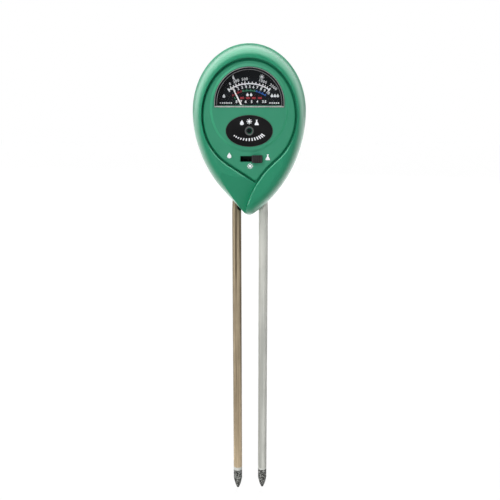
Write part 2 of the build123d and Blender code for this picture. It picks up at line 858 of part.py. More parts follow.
def hairspring(rear):
    """Flat spiral spring made of half turns that grow outwards from the staff."""
    with BuildSketch(facing(rear)) as band:
        with BuildLine() as spiral:
            for turn in range(spring_half_turns):
                radius = spring_inner + turn * spring_pitch / 2 + spring_pitch / 4
                side = -1 if turn % 2 else 1
                CenterArc((side * -spring_pitch / 4, pivot_z), radius, 0 if turn % 2 == 0 else 180, 180)
        trace(spiral.line, line_width=spring_band)
    extrude(band.sketch, amount=spring_height)


with BuildPart() as front_hairspring:
    hairspring(front_spring_rear)
front_hairspring.part.label = "front_hairspring"
export_step(front_hairspring.part, "parts/front_hairspring.step")

with BuildPart() as rear_hairspring:
    hairspring(rear_spring_rear)
rear_hairspring.part.label = "rear_hairspring"
export_step(rear_hairspring.part, "parts/rear_hairspring.step")

# Aluminium former of the moving coil
with BuildPart() as coil_former:
    block(
        (0, pivot_z), 2 * (coil_inner + former_wall), coil_width, coil_rear - coil_thickness,
        coil_front + coil_thickness, lean=needle_lean,
    )
    block((0, pivot_z), 2 * coil_inner, coil_width, coil_rear - coil_thickness - former_wall,
          coil_front + coil_thickness + former_wall, lean=needle_lean, mode=Mode.SUBTRACT)
coil_former.part.label = "coil_former"
export_step(coil_former.part, "parts/coil_former.step")

# Winding on the former
with BuildPart() as moving_coil:
    block((0, pivot_z), 2 * coil_outer, coil_width, coil_rear, coil_front, lean=needle_lean)
    block(
        (0, pivot_z), 2 * (coil_inner + former_wall), coil_width, coil_rear - coil_thickness,
        coil_front + coil_thickness, lean=needle_lean, mode=Mode.SUBTRACT,
    )
moving_coil.part.label = "moving_coil"
export_step(moving_coil.part, "parts/moving_coil.step")

# Pivot staffs on the front and the rear of the coil, each with a collet for its hairspring
with BuildPart() as pivot_staffs:
    studs([(0, pivot_z)], staff_radius, coil_front, bridge_rear + staff_gap)
    studs([(0, pivot_z)], collet_radius, front_spring_rear, front_spring_rear - spring_height)
    studs([(0, pivot_z)], pivot_radius, bridge_rear + staff_gap, bridge_rear - pivot_length + staff_gap)
    studs([(0, pivot_z)], staff_radius, frame_front + fit - staff_gap, coil_rear)
    studs([(0, pivot_z)], collet_radius, rear_spring_rear, rear_spring_rear - spring_height)
    studs(
        [(0, pivot_z)], pivot_radius, frame_front + fit + pivot_length - staff_gap,
        frame_front + fit - staff_gap,
    )
pivot_staffs.part.label = "pivot_staffs"
export_step(pivot_staffs.part, "parts/pivot_staffs.step")

# Needle with its hub, tail and two balance arms
with BuildPart() as needle:
    with BuildSketch(facing(needle_rear)):
        with Locations(Location((0, pivot_z, 0), (0, 0, -needle_lean))):
            Polygon(
                (-needle_root_width / 2, 0),
                (needle_root_width / 2, 0),
                (needle_tip_width / 2, needle_length),
                (-needle_tip_width / 2, needle_length),
                align=None,
            )
            Rectangle(2 * needle_arm, arm_width)
            Rectangle(arm_width, needle_tail, align=(Align.CENTER, Align.MAX))
    extrude(amount=needle_thickness)
    studs([(0, pivot_z)], hub_radius, needle_rear + hub_proud, needle_front - hub_proud)
    studs(
        [(0, pivot_z)], staff_radius, needle_rear + hub_proud, needle_front - hub_proud, mode=Mode.SUBTRACT,
    )
needle.part.label = "needle"
export_step(needle.part, "parts/needle.step")

# Balance weights threaded on the tail and the arms
pivot = Vector(0, (needle_front + needle_rear) / 2, pivot_z)
weight_stands = [
    (pivot + needle_side * (needle_arm - weight_inset), needle_side),
    (pivot - needle_side * (needle_arm - weight_inset), needle_side),
    (pivot - needle_up * (needle_tail - weight_inset), needle_up),
]
with BuildPart() as balance_weights:
    for stand, along in weight_stands:
        with BuildSketch(Plane(origin=stand, x_dir=(0, 1, 0), z_dir=along)):
            Circle(weight_radius)
            Rectangle(needle_thickness, arm_width, mode=Mode.SUBTRACT)
        extrude(amount=weight_length / 2, both=True)
balance_weights.part.label = "balance_weights"
export_step(balance_weights.part, "parts/balance_weights.step")

# Slide switch: steel case with two ears, open at the rear
with BuildPart() as switch_case:
    block((slot_x, slot_z), case_width, case_height, case_rear, ledge_front)
    block(
        (slot_x, slot_z), 2 * ear_reach, ear_height, ledge_front + ear_thickness, ledge_front,
        corner=ear_corner,
    )
    block(
        (slot_x, slot_z), case_width - 2 * case_wall, case_height - 2 * case_wall, case_rear,
        ledge_front + case_wall, mode=Mode.SUBTRACT,
    )
    block((slot_x, slot_z), slot_width, slot_height, case_rear, ledge_front, mode=Mode.SUBTRACT)
    studs(
        switch_screws_at, switch_screw_radius + fit, ledge_front + ear_thickness, ledge_front,
        mode=Mode.SUBTRACT,
    )
switch_case.part.label = "switch_case"
export_step(switch_case.part, "parts/switch_case.step")

# Two screws that hold the switch to the panel
with BuildPart() as switch_screws:
    screw(
        switch_screws_at, switch_screw_radius, ear_thickness + switch_screw_depth - pilot_spare,
        switch_screw_head, switch_screw_head_height, ledge_front + ear_thickness, True,
    )
switch_screws.part.label = "switch_screws"
export_step(switch_screws.part, "parts/switch_screws.step")

# Base plate that closes the switch and carries its terminals
with BuildPart() as switch_base:
    block((slot_x, slot_z), case_width - 2 * case_wall, case_height - 2 * case_wall, case_rear, base_front)
    studs(terminals_at, terminal_radius, case_rear, base_front, mode=Mode.SUBTRACT)
switch_base.part.label = "switch_base"
export_step(switch_base.part, "parts/switch_base.step")

with BuildPart() as switch_terminals:
    studs(terminals_at, terminal_radius, board_rear + terminal_tail, base_front - terminal_head)
switch_terminals.part.label = "switch_terminals"
export_step(switch_terminals.part, "parts/switch_terminals.step")

# Slider inside the case; its stem comes out through the slot
with BuildPart() as switch_slider:
    block((knob_x, slot_z), stem_width, slider_height, slider_rear, slider_front)
    block((knob_x, slot_z), stem_width, stem_height, slider_front, knob_rear)
    block((knob_x, slot_z), spigot_width, spigot_height, knob_rear, knob_rear - spigot_length)
switch_slider.part.label = "switch_slider"
export_step(switch_slider.part, "parts/switch_slider.step")

# Ribbed cap on the stem
with BuildPart() as switch_knob:
    block((knob_x, slot_z), knob_width, knob_height, knob_rear, -half_depth, corner=knob_round)
    for groove in range(knob_grooves):
        place = knob_x + (groove - (knob_grooves - 1) / 2) * 2 * knob_groove
        block(
            (place, slot_z), knob_groove, knob_height, -half_depth + knob_groove_depth, -half_depth,
            mode=Mode.SUBTRACT,
        )
    block(
        (knob_x, slot_z), spigot_width, spigot_height, knob_rear, knob_rear - spigot_length,
        mode=Mode.SUBTRACT,
    )
switch_knob.part.label = "switch_knob"
export_step(switch_knob.part, "parts/switch_knob.step")

# Spring contact on the back of the slider
with BuildPart() as switch_contact:
    block(
        (knob_x, slot_z), terminal_pitch + 2 * terminal_radius, slider_height - 2 * case_wall, contact_rear,
        slider_rear,
    )
    studs([(knob_x, slot_z - terminal_rows / 2), (knob_x, slot_z + terminal_rows / 2)], contact_bump,
          contact_rear + contact_bump, contact_rear)
switch_contact.part.label = "switch_contact"
export_step(switch_contact.part, "parts/switch_contact.step")

# Circuit board soldered to the switch terminals
with BuildPart() as circuit_board:
    block(
        (slot_x, (board_top + board_bottom) / 2), board_width, board_top - board_bottom, board_rear,
        board_front, corner=board_corner,
    )
    studs(terminals_at, terminal_radius, board_rear, board_front, mode=Mode.SUBTRACT)
circuit_board.part.label = "circuit_board"
export_step(circuit_board.part, "parts/circuit_board.step")

# Resistors on the back of the board that set the scale of each position
with BuildPart() as calibration_resistors:
    for number in range(resistor_count):
        row = slot_z - resistor_drop + number * resistor_pitch
        level = board_rear + resistor_lift
        lead([
            (resistor_x - resistor_span / 2, board_rear, row),
            (resistor_x - resistor_span / 2, level, row),
            (resistor_x + resistor_span / 2, level, row),
            (resistor_x + resistor_span / 2, board_rear, row),
        ], resistor_bend, resistor_wire)
        with BuildSketch(Plane(origin=(resistor_x, level, row), z_dir=(1, 0, 0))):
            Circle(resistor_radius)
        extrude(amount=resistor_length / 2, both=True)
calibration_resistors.part.label = "calibration_resistors"
export_step(calibration_resistors.part, "parts/calibration_resistors.step")


def probe_tube(x, bottom):
    """Outer tube of a probe: full size below the head, drawn down to a neck inside it."""
    turned(x, [
        (tube_bore, bottom),
        (probe_radius, bottom),
        (probe_radius, neck_start),
        (neck_radius, neck_end),
        (neck_radius, tube_top),
        (tube_bore, tube_top),
    ])


def probe_insulator(x, bottom, ring):
    """Ring between tip and tube, with the sleeve that keeps the core rod off the tube."""
    turned(x, [
        (sleeve_bore, bottom),
        (probe_radius, bottom),
        (probe_radius, bottom + ring),
        (sleeve_radius, bottom + ring),
        (sleeve_radius, sleeve_top),
        (sleeve_bore, sleeve_top),
    ])


def probe_tip(x, bottom):
    """Pointed tip in one piece with the core rod that runs up to the head."""
    shoulder = bottom + point_height
    barrel_top = shoulder + tip_barrel
    with BuildSketch(Plane.XZ) as section:
        with BuildLine():
            point = CenterArc((x, bottom + point_round), point_round, -90, point_turn)
            flank = TangentArc(point @ 1, (x + probe_radius, shoulder), tangent=point % 1)
            Polyline(
                flank @ 1,
                (x + probe_radius, barrel_top),
                (x + rod_radius, barrel_top),
                (x + rod_radius, rod_top),
                (x, rod_top),
                point @ 0,
            )
        make_face()
    revolve(section.sketch, axis=Axis((x, 0, 0), (0, 0, 1)))


left_ring_bottom = point_height + tip_barrel
right_ring_bottom = right_lift + point_height + tip_barrel

with BuildPart() as left_tip:
    probe_tip(left_probe_x, 0)
left_tip.part.label = "left_tip"
export_step(left_tip.part, "parts/left_tip.step")

with BuildPart() as right_tip:
    probe_tip(right_probe_x, right_lift)
right_tip.part.label = "right_tip"
export_step(right_tip.part, "parts/right_tip.step")

with BuildPart() as left_insulator:
    probe_insulator(left_probe_x, left_ring_bottom, left_ring)
left_insulator.part.label = "left_insulator"
export_step(left_insulator.part, "parts/left_insulator.step")

with BuildPart() as right_insulator:
    probe_insulator(right_probe_x, right_ring_bottom, right_ring)
right_insulator.part.label = "right_insulator"
export_step(right_insulator.part, "parts/right_insulator.step")

with BuildPart() as brass_tube:
    probe_tube(left_probe_x, left_ring_bottom + left_ring)
brass_tube.part.label = "brass_tube"
export_step(brass_tube.part, "parts/brass_tube.step")

with BuildPart() as aluminium_tube:
    probe_tube(right_probe_x, right_ring_bottom + right_ring)
aluminium_tube.part.label = "aluminium_tube"
export_step(aluminium_tube.part, "parts/aluminium_tube.step")

# Collars that grip the necks of the tubes; the ribs of both shells lock into their grooves
with BuildPart() as probe_collars:
    for side in (left_probe_x, right_probe_x):
        turned(side, [
            (neck_radius, collar_bottom),
            (collar_radius, collar_bottom),
            (collar_radius, rib_bottom),
            (collar_neck, rib_bottom),
            (collar_neck, rib_top),
            (collar_radius, rib_top),
            (collar_radius, collar_top),
            (neck_radius, collar_top),
        ])
probe_collars.part.label = "probe_collars"
export_step(probe_collars.part, "parts/probe_collars.step")

# Leads from the rods and the tubes of the probes to the board
tube_lead_out = (tube_bore + neck_radius) / 2
rod_lead_z = slot_z - rod_lead_drop
tube_lead_z = slot_z + tube_lead_lift
with BuildPart() as probe_leads:
    for side, out in ((left_probe_x, -tube_lead_out), (right_probe_x, tube_lead_out)):
        lead([
            (side, 0, rod_top),
            (side, 0, rod_lead_z),
            (side, board_rear, rod_lead_z),
        ], lead_bend, lead_radius)
        lead([
            (side + out, 0, tube_top),
            (side + out, 0, tube_lead_z),
            (side + out, board_rear, tube_lead_z),
        ], lead_bend, (neck_radius - tube_bore) / 2)
probe_leads.part.label = "probe_leads"
export_step(probe_leads.part, "parts/probe_leads.step")

# Leads from the meter to the board
meter_lead_y = (frame_front + frame_rear) / 2
meter_lead_z = slot_z + meter_lead_lift
with BuildPart() as meter_leads:
    for side in (-meter_lead_x, meter_lead_x):
        lead([
            (side, meter_lead_y, pivot_z - frame_down),
            (side, meter_lead_y, meter_lead_z),
            (side, board_rear, meter_lead_z),
        ], lead_bend, lead_radius)
meter_leads.part.label = "meter_leads"
export_step(meter_leads.part, "parts/meter_leads.step")

# Leads from the light cell to the top edge of the board
cell_lead_y = skin_rear + cell_thickness / 2
cell_lead_z = board_top + cell_lead_rise
board_middle = (board_front + board_rear) / 2
with BuildPart() as cell_leads:
    for side in (-cell_lead_x, cell_lead_x):
        lead([
            (side, cell_lead_y, cell_z - cell_size / 2),
            (side, cell_lead_y, cell_lead_z),
            (side, board_middle, cell_lead_z),
            (side, board_middle, board_top),
        ], [lead_bend, lead_bend / 2], lead_radius)
cell_leads.part.label = "cell_leads"
export_step(cell_leads.part, "parts/cell_leads.step")
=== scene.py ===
"""Dressed soil tester: finishes, printed marks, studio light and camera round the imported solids."""

import logging
import math
from dataclasses import dataclass
from enum import Enum
from typing import Any, ClassVar, Iterable, Sequence

import bpy
import numpy as np
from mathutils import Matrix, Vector
from numpy.typing import NDArray


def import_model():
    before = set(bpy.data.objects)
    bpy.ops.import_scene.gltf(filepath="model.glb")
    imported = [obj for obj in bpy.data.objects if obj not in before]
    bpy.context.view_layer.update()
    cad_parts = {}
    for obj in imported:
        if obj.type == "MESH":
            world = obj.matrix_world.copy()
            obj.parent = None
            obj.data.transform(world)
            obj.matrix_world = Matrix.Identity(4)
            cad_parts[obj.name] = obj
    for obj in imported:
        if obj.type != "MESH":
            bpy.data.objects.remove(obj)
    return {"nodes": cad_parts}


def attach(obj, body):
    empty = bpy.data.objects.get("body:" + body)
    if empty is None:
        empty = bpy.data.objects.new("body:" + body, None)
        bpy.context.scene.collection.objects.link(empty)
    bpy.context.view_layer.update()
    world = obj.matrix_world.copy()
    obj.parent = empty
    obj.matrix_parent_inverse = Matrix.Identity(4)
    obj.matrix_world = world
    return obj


LOG = logging.getLogger("soil_tester")
MM = 0.001
HOUSING = "housing"
Array = NDArray[np.float64]
Corners = NDArray[np.int64]
Pair = tuple[float, float]
Triple = tuple[float, float, float]
Colour = Triple
Grid = tuple[Array, Array]
Quad = tuple[float, float, float, float]
Node = bpy.types.Node
Socket = bpy.types.NodeSocket


class Mark(Enum):
    """Plain signs that stand for the quantities the tester reads."""

    DROP = "drop"
    SUN = "sun"
    FLASK = "flask"
    MOON = "moon"
    DOT = "dot"


Stamp = tuple[Mark, float, float, float, float]  # mark, x, z, clockwise turn and size


class Slot(Enum):
    """Material slots of the record, listed by name; the added pieces take their finishes from the finishes
    below, not from these.
    """

    WHITE = "needle_white"
    BLACK = "dial_black"
    GREY = "bezel_grey"


SIGN_STEPS, ARC_STEPS, RING_STEPS = 25, 48, 128
POLE_GAP = {Mark.DROP: 0.03, Mark.MOON: 0.06, Mark.DOT: 0.05, Mark.SUN: 0.05}
DROP_WIDTH, DROP_POWER = 1.05, 1.6
MOON_FLATNESS = 0.2
SUN_DISC, RAY_START, RAY_HALF = 0.52, 0.66, 0.08
FLASK_HEIGHTS = np.array([-1.0, -0.9, -0.62, 0.25, 0.3, 0.82, 0.84, 1.0])
FLASK_WIDTHS = np.array([0.62, 0.78, 0.76, 0.24, 0.22, 0.22, 0.34, 0.34])
DIGIT_SHARE, DIGIT_WEIGHT = 0.69, 0.035


@dataclass(frozen=True)
class Surface:
    """Closed mesh: rows of x, y, z in millimetres, and triangles as rows of three corner numbers."""

    points: Array
    faces: Corners

    def outward(self) -> "Surface":
        """Same surface with its faces turned outwards.

        The signed volume is a sixth of the sum of a . (b x c) over the triangles; where it is negative every
        triangle is turned round.

        Returns:
            A surface whose signed volume is positive.
        """
        first, second, third = (self.points[self.faces[:, corner]] - self.points[0] for corner in range(3))
        if np.einsum("ij,ij->", first, np.cross(second, third)) >= 0:
            return self
        return Surface(self.points, self.faces[:, ::-1])


def halved(quads: Corners) -> Corners:
    """Each four-cornered face, a row of corner numbers, as two triangles."""
    return np.concatenate([quads[:, [0, 1, 2]], quads[:, [0, 2, 3]]])


def joined(surfaces: Sequence[Surface]) -> Surface:
    """Several surfaces as one: the corner numbers of each are moved past those before it."""
    starts = np.cumsum([0, *(len(surface.points) for surface in surfaces[:-1])])
    return Surface(np.concatenate([surface.points for surface in surfaces]),
                   np.concatenate([surface.faces + start for start, surface in zip(starts, surfaces)]))


def grid_faces(numbers: Corners) -> Corners:
    """Four-cornered faces of a grid of corner numbers, one row for each cell."""
    cells = [numbers[:-1, :-1], numbers[1:, :-1], numbers[1:, 1:], numbers[:-1, 1:]]
    return np.stack(cells, -1).reshape(-1, 4)


def slab(grid: Grid, rear: float | Array, thickness: float) -> Surface:
    """Plate whose outline is the border of a grid.

    Corner (u, v) lies at (x(u, v), y, z(u, v)); y is rear on the back sheet and rear less thickness on the
    front sheet, and a wall joins the borders of the two sheets.

    Args:
        grid: x and z over the two parameters, in millimetres.
        rear: Depth of the back sheet, the same all over or one for each row.
        thickness: How far the front sheet stands forwards.

    Returns:
        The closed plate.
    """
    x, z = grid
    y = np.broadcast_to(rear, x.shape)
    numbers = np.arange(x.size).reshape(x.shape)
    sheet = grid_faces(numbers)
    border = np.concatenate([numbers[:-1, 0], numbers[-1, :-1], numbers[:0:-1, -1], numbers[0, :0:-1]])
    after = np.roll(border, -1)
    walls = np.stack([after, border, border + x.size, after + x.size], -1)
    faces = np.concatenate([sheet, sheet[:, ::-1] + x.size, walls])
    front, back = (np.stack([x, depth, z], -1).reshape(-1, 3) for depth in (y - thickness, y))
    return Surface(np.concatenate([front, back]), halved(faces)).outward()


def arc_band(centre: float, inner: float, outer: float, start: float, end: float) -> Grid:
    """Band between two circles: x = r sin a, z = centre + r cos a, with a clockwise from upright."""
    angle, radius = np.radians(np.linspace(start, end, ARC_STEPS)), np.array([[inner], [outer]])
    return radius * np.sin(angle), centre + radius * np.cos(angle)


def between(left: Array, right: Array, height: Array, steps: int = 5) -> Grid:
    """Area between two edges: x = left(v) (1 - u) + right(v) u at z = height(v)."""
    left, right, share = left[:, None], right[:, None], np.linspace(0, 1, steps)
    return left * (1 - share) + right * share, np.repeat(height[:, None], steps, axis=1)


def bar(half: float, low: float, high: float, steps: int = 2) -> Grid:
    """Upright bar about x = 0: x from -half to half and z from low to high."""
    return between(np.full(2, -half), np.full(2, half), np.array([low, high]), steps)


def placed(grid: Grid, x: float, z: float, angle: float = 0.0) -> Grid:
    """Grid turned clockwise and moved: x' = x cos a + z sin a and z' = z cos a - x sin a."""
    turn = math.radians(angle)
    return (x + grid[0] * math.cos(turn) + grid[1] * math.sin(turn),
            z + grid[1] * math.cos(turn) - grid[0] * math.sin(turn))


def ellipse_ring(half: Pair, width: float, height: float, rear: float, thickness: float) -> Surface:
    """Flat ring inside an ellipse about x = 0.

    An edge is x = (A - w) cos t and z = height + (B - w) sin t over a full turn, with w the ring's width on
    the inner edge and 0 on the outer one. The section, two edges at two depths, is carried round.

    Args:
        half: Outer half width A and half height B.
        width: Width of the ring.
        height: Height of the centre.
        rear: Depth of the back.
        thickness: How far the front stands forwards.

    Returns:
        The closed ring.
    """
    turn = np.linspace(0, 2 * np.pi, RING_STEPS + 1)[:-1]
    front = rear - thickness
    section = np.stack([
        np.stack([(half[0] - inset) * np.cos(turn), np.full(turn.size, depth),
                  height + (half[1] - inset) * np.sin(turn)], -1)
        for inset, depth in ((width, rear), (width, front), (0.0, front), (0.0, rear))
    ])
    numbers = np.arange(4 * turn.size).reshape(4, turn.size)
    across, along = np.roll(numbers, -1, axis=0), np.roll(numbers, -1, axis=1)
    faces = np.stack([numbers, across, np.roll(across, -1, axis=1), along], -1).reshape(-1, 4)
    return Surface(section.reshape(-1, 3), halved(faces)).outward()


def sign(mark: Mark, size: float) -> list[Grid]:
    """Grids of a plain sign about its own middle.

    A drop is as wide as sin t times a power of sin(t/2) at height cos t; a sun is a disc with eight bars
    round it; a flask is a straight neck that widens to its foot; a moon lies between a circle and a flatter
    arc; a dot is a disc. Round signs stop just short of their poles.

    Args:
        mark: Which sign.
        size: Height of the sign.

    Returns:
        One grid for each closed area.
    """
    half = size / 2
    if mark is Mark.FLASK:
        width = FLASK_WIDTHS * half
        return [between(-width, width, FLASK_HEIGHTS * half)]
    turn = np.linspace(POLE_GAP[mark], np.pi - POLE_GAP[mark], SIGN_STEPS)
    if mark is Mark.DROP:
        width = DROP_WIDTH * half * np.sin(turn) * np.sin(turn / 2) ** DROP_POWER
        return [between(-width, width, half * np.cos(turn))]
    if mark is Mark.MOON:
        edge = half * np.sin(turn)
        return [between(-edge, -MOON_FLATNESS * edge, half * np.cos(turn))]
    reach = half if mark is Mark.DOT else SUN_DISC * half
    disc = between(-reach * np.sin(turn), reach * np.sin(turn), reach * np.cos(turn))
    if mark is Mark.DOT:
        return [disc]
    ray = bar(RAY_HALF * size, RAY_START * half, half)
    return [disc, *(placed(ray, 0, 0, angle) for angle in range(0, 360, 45))]


def stamped(signs: Iterable[Stamp], rear: float, thickness: float) -> list[Surface]:
    """Plates of signs, each given by its mark, x, z, clockwise turn and size."""
    return [slab(placed(grid, x, z, turn), rear, thickness)
            for mark, x, z, turn, size in signs for grid in sign(mark, size)]


class Tree:
    """Node tree of a material, a group or the world, with short ways to add and join nodes."""

    def __init__(self, nodes: bpy.types.NodeTree) -> None:
        """Takes over a node tree and empties it."""
        self.tree = nodes
        self.tree.nodes.clear()

    def add(self, kind: str, **settings: Any) -> Node:
        """Adds a node.

        Args:
            kind: Node type without its prefix.
            settings: Attributes of the node.

        Returns:
            The new node.
        """
        node = self.tree.nodes.new(f"ShaderNode{kind}")
        for name, value in settings.items():
            setattr(node, name, value)
        return node

    def put(self, value: Any, target: Socket) -> None:
        """Links an output to an input, or sets the input to a number, a vector or a colour.

        Args:
            value: Socket, number, vector or colour.
            target: The input.
        """
        if isinstance(value, Socket):
            self.tree.links.new(value, target)
        else:
            target.default_value = (*value, 1) if target.type == "RGBA" else value

    def feed(self, node: Node, *values: Any, **named: Any) -> Node:
        """Puts sockets or values on a node's inputs.

        Args:
            node: The node.
            values: For its inputs in their order.
            named: For its inputs by name, with underscores for spaces.

        Returns:
            The node.
        """
        for value, target in zip(values, node.inputs):
            self.put(value, target)
        for label, value in named.items():
            self.put(value, node.inputs[label.replace("_", " ")])
        return node

    def axes(self, kind: str) -> Any:
        """X, Y and Z outputs of one kind of texture coordinates."""
        return self.feed(self.add("SeparateXYZ"), self.add("TexCoord").outputs[kind]).outputs

    def math(self, operation: str, first: Any, second: Any) -> Socket:
        """Result of an operation on two sockets or numbers."""
        return self.feed(self.add("Math", operation=operation), first, second).outputs[0]

    def span(self, value: Socket, low: Any, high: Any, start: float = 0.0, end: float = 1.0) -> Socket:
        """Value mapped from the span low to high onto start to end, and kept inside it."""
        return self.feed(self.add("MapRange", clamp=True), value, low, high, start, end).outputs["Result"]

    def blend(self, share: Socket, first: Any, second: Any) -> Socket:
        """Mixes two colours.

        Args:
            share: How much of the second colour shows.
            first: Socket or colour.
            second: Socket or colour.

        Returns:
            The mixed colour.
        """
        node = self.feed(self.add("Mix", data_type="RGBA"), share)
        for value, target in zip((first, second), node.inputs[6:8]):
            self.put(value, target)
        return node.outputs[2]

    def mixed(self, share: Any, first: Socket, second: Socket) -> Socket:
        """Mix of two shaders with a share of the second."""
        return self.feed(self.add("MixShader"), share, first, second).outputs["Shader"]

    def noise(self, place: Socket, scale: Any, detail: float = 2.0) -> Socket:
        """Noise at a place, with a scale and a number of octaves."""
        return self.feed(self.add("TexNoise"), Vector=place, Scale=scale, Detail=detail).outputs["Fac"]


class SharedEffect:
    """Shader node group of values that several finishes use, built once and found by its name."""

    name: ClassVar[str]
    inputs: ClassVar[tuple[str, ...]]
    outputs: ClassVar[tuple[str, ...]]

    @staticmethod
    def fill(tree: Tree, given: Any, made: Node) -> None:
        """Joins the given inputs to what is made of them."""
        raise NotImplementedError

    @classmethod
    def place(cls, tree: Tree, **values: float) -> Any:
        """Places the effect in a material.

        Args:
            tree: The material's tree.
            values: Its inputs, with underscores for spaces.

        Returns:
            The outputs of the group's node.
        """
        group = bpy.data.node_groups.get(cls.name)
        if not group:
            group = bpy.data.node_groups.new(cls.name, "ShaderNodeTree")
            for way, labels in (("INPUT", cls.inputs), ("OUTPUT", cls.outputs)):
                for label in labels:
                    group.interface.new_socket(name=label, in_out=way, socket_type="NodeSocketFloat")
            inside = Tree(group)
            cls.fill(inside, group.nodes.new("NodeGroupInput").outputs, group.nodes.new("NodeGroupOutput"))
        return tree.feed(tree.add("Group", node_tree=group), **values).outputs


class MouldedGrain(SharedEffect):
    """Fine moulded grain and broad soft patches."""

    name, inputs, outputs = "moulded_grain", ("Scale", "Patch Scale"), ("Height", "Patches")

    @staticmethod
    def fill(tree: Tree, given: Any, made: Node) -> None:
        """Makes both out of noise at two scales."""
        place = tree.add("TexCoord").outputs["Object"]
        patches = tree.span(tree.noise(place, given["Patch Scale"]), 0.35, 0.65)
        tree.feed(made, Height=tree.noise(place, given["Scale"], 3.0), Patches=patches)


class CreviceShade(SharedEffect):
    """Painted shade for grooves and corners: 1 in a tight groove and 0 on an open face."""

    name, inputs, outputs = "painted_crevice_shade", ("Reach", "Open"), ("Shade",)

    @staticmethod
    def fill(tree: Tree, given: Any, made: Node) -> None:
        """Makes the painted shade out of the share of open surroundings."""
        around = tree.feed(tree.add("AmbientOcclusion", samples=12), Distance=given["Reach"])
        tree.feed(made, Shade=tree.span(around.outputs["AO"], 0.2, given["Open"], 1.0, 0.0))


class DrawnStreaks(SharedEffect):
    """Lines drawn along Z, as on tube that was pulled through a die, broken up by stains; on the probes their
    colours and scale are set so that they also give painted bands of reflection and shade.
    """

    name, inputs, outputs = "drawn_streaks", ("Scale",), ("Lines", "Stains", "Height")

    @staticmethod
    def fill(tree: Tree, given: Any, made: Node) -> None:
        """Makes lines out of noise that is stretched along Z, and stains out of even noise."""
        place = tree.add("TexCoord").outputs["Object"]
        drawn = tree.feed(tree.add("Mapping"), Vector=place, Scale=(1.0, 1.0, 0.02)).outputs["Vector"]
        lines = tree.span(tree.noise(drawn, given["Scale"]), 0.42, 0.58)
        stains = tree.span(tree.noise(place, 90.0, 3.0), 0.45, 0.7)
        fine = tree.noise(drawn, tree.math("MULTIPLY", given["Scale"], 4.0))
        tree.feed(made, Lines=lines, Stains=stains, Height=fine)


class Finish:
    """Base of the finishes: a named material with a Principled shader."""

    name: str

    def material(self) -> bpy.types.Material:
        """Material of this finish, made once.

        Returns:
            The material.
        """
        found = bpy.data.materials.get(self.name)
        if found:
            return found
        made = bpy.data.materials.new(self.name)
        made.use_nodes = True
        tree = Tree(made.node_tree)
        shader = tree.add("BsdfPrincipled")
        self.shade(tree, shader)
        tree.feed(tree.add("OutputMaterial"), Surface=self.top(tree, shader))
        return made

    def shade(self, tree: Tree, shader: Node) -> None:
        """Joins this finish's nodes to the shader."""
        raise NotImplementedError

    def top(self, tree: Tree, shader: Node) -> Socket:
        """Shader output that the surface takes."""
        return shader.outputs["BSDF"]

    @staticmethod
    def bump(tree: Tree, height: Socket, depth: float) -> Socket:
        """Normal of a surface that a height from 0 to 1 raises by a depth in millimetres."""
        node = tree.feed(tree.add("Bump"), Strength=1.0, Distance=depth * MM, Height=height)
        return node.outputs["Normal"]


@dataclass(frozen=True)
class MouldedPlastic(Finish):
    """Moulded plastic with fine grain, soft patches, painted shade in its grooves and, where given, a painted
    sheen on faces that turn sideways.
    """

    name: str
    colour: Colour
    patch: Colour
    # colour of the painted shade in grooves and corners
    groove: Colour
    rough: Pair = (0.36, 0.46)  # roughness of the smooth parts and of the patches
    grain: float = 2600.0  # scale of the grain, per metre
    depth: float = 0.02  # depth of the grain in millimetres
    reach: float = 2.5  # how wide a groove still gets painted shade, in millimetres
    open: float = 0.54  # share of open surroundings at which the painted shade ends
    specular: float = 0.5  # how much the skin reflects
    rubbed: Colour | None = None  # colour of the painted sheen on faces that turn sideways

    def shade(self, tree: Tree, shader: Node) -> None:
        """Mixes main colour, patches, the painted sheen on sideways faces and the painted groove shade, and
        adds the grain.
        """
        grain = MouldedGrain.place(tree, Scale=self.grain, Patch_Scale=70.0)
        # Painted shade: grooves and corners are painted darker the less of the surroundings they see.
        crevice = CreviceShade.place(tree, Reach=self.reach * MM, Open=self.open)
        tone = tree.blend(grain["Patches"], self.colour, self.patch)
        # Painted sheen: faces that turn sideways are painted paler, as if they reflected light from the
        # sides.
        if self.rubbed:
            sideways = tree.math("ABSOLUTE", tree.axes("Normal")["X"], 0.0)
            tone = tree.blend(tree.span(sideways, 0.1, 0.35), tone, self.rubbed)
        tree.feed(shader, Base_Color=tree.blend(crevice["Shade"], tone, self.groove),
                  Roughness=tree.span(grain["Patches"], 0, 1, *self.rough),
                  Specular_IOR_Level=self.specular, Normal=self.bump(tree, grain["Height"], self.depth))


@dataclass(frozen=True)
class PrintedInk(Finish):
    """Screen-printed ink, also used for the painted highlights on the window: its full colour, and a paler or
    darker tone where it is thin.
    """

    name: str
    colour: Colour
    thin: Colour
    specular: float = 0.5

    def shade(self, tree: Tree, shader: Node) -> None:
        """Mixes the two tones on a fine noise."""
        grain = MouldedGrain.place(tree, Scale=3200.0, Patch_Scale=1500.0)
        tree.feed(shader, Base_Color=tree.blend(grain["Patches"], self.colour, self.thin),
                  Roughness=tree.span(grain["Height"], 0.3, 0.7, 0.42, 0.55),
                  Specular_IOR_Level=self.specular, Normal=self.bump(tree, grain["Height"], 0.006))


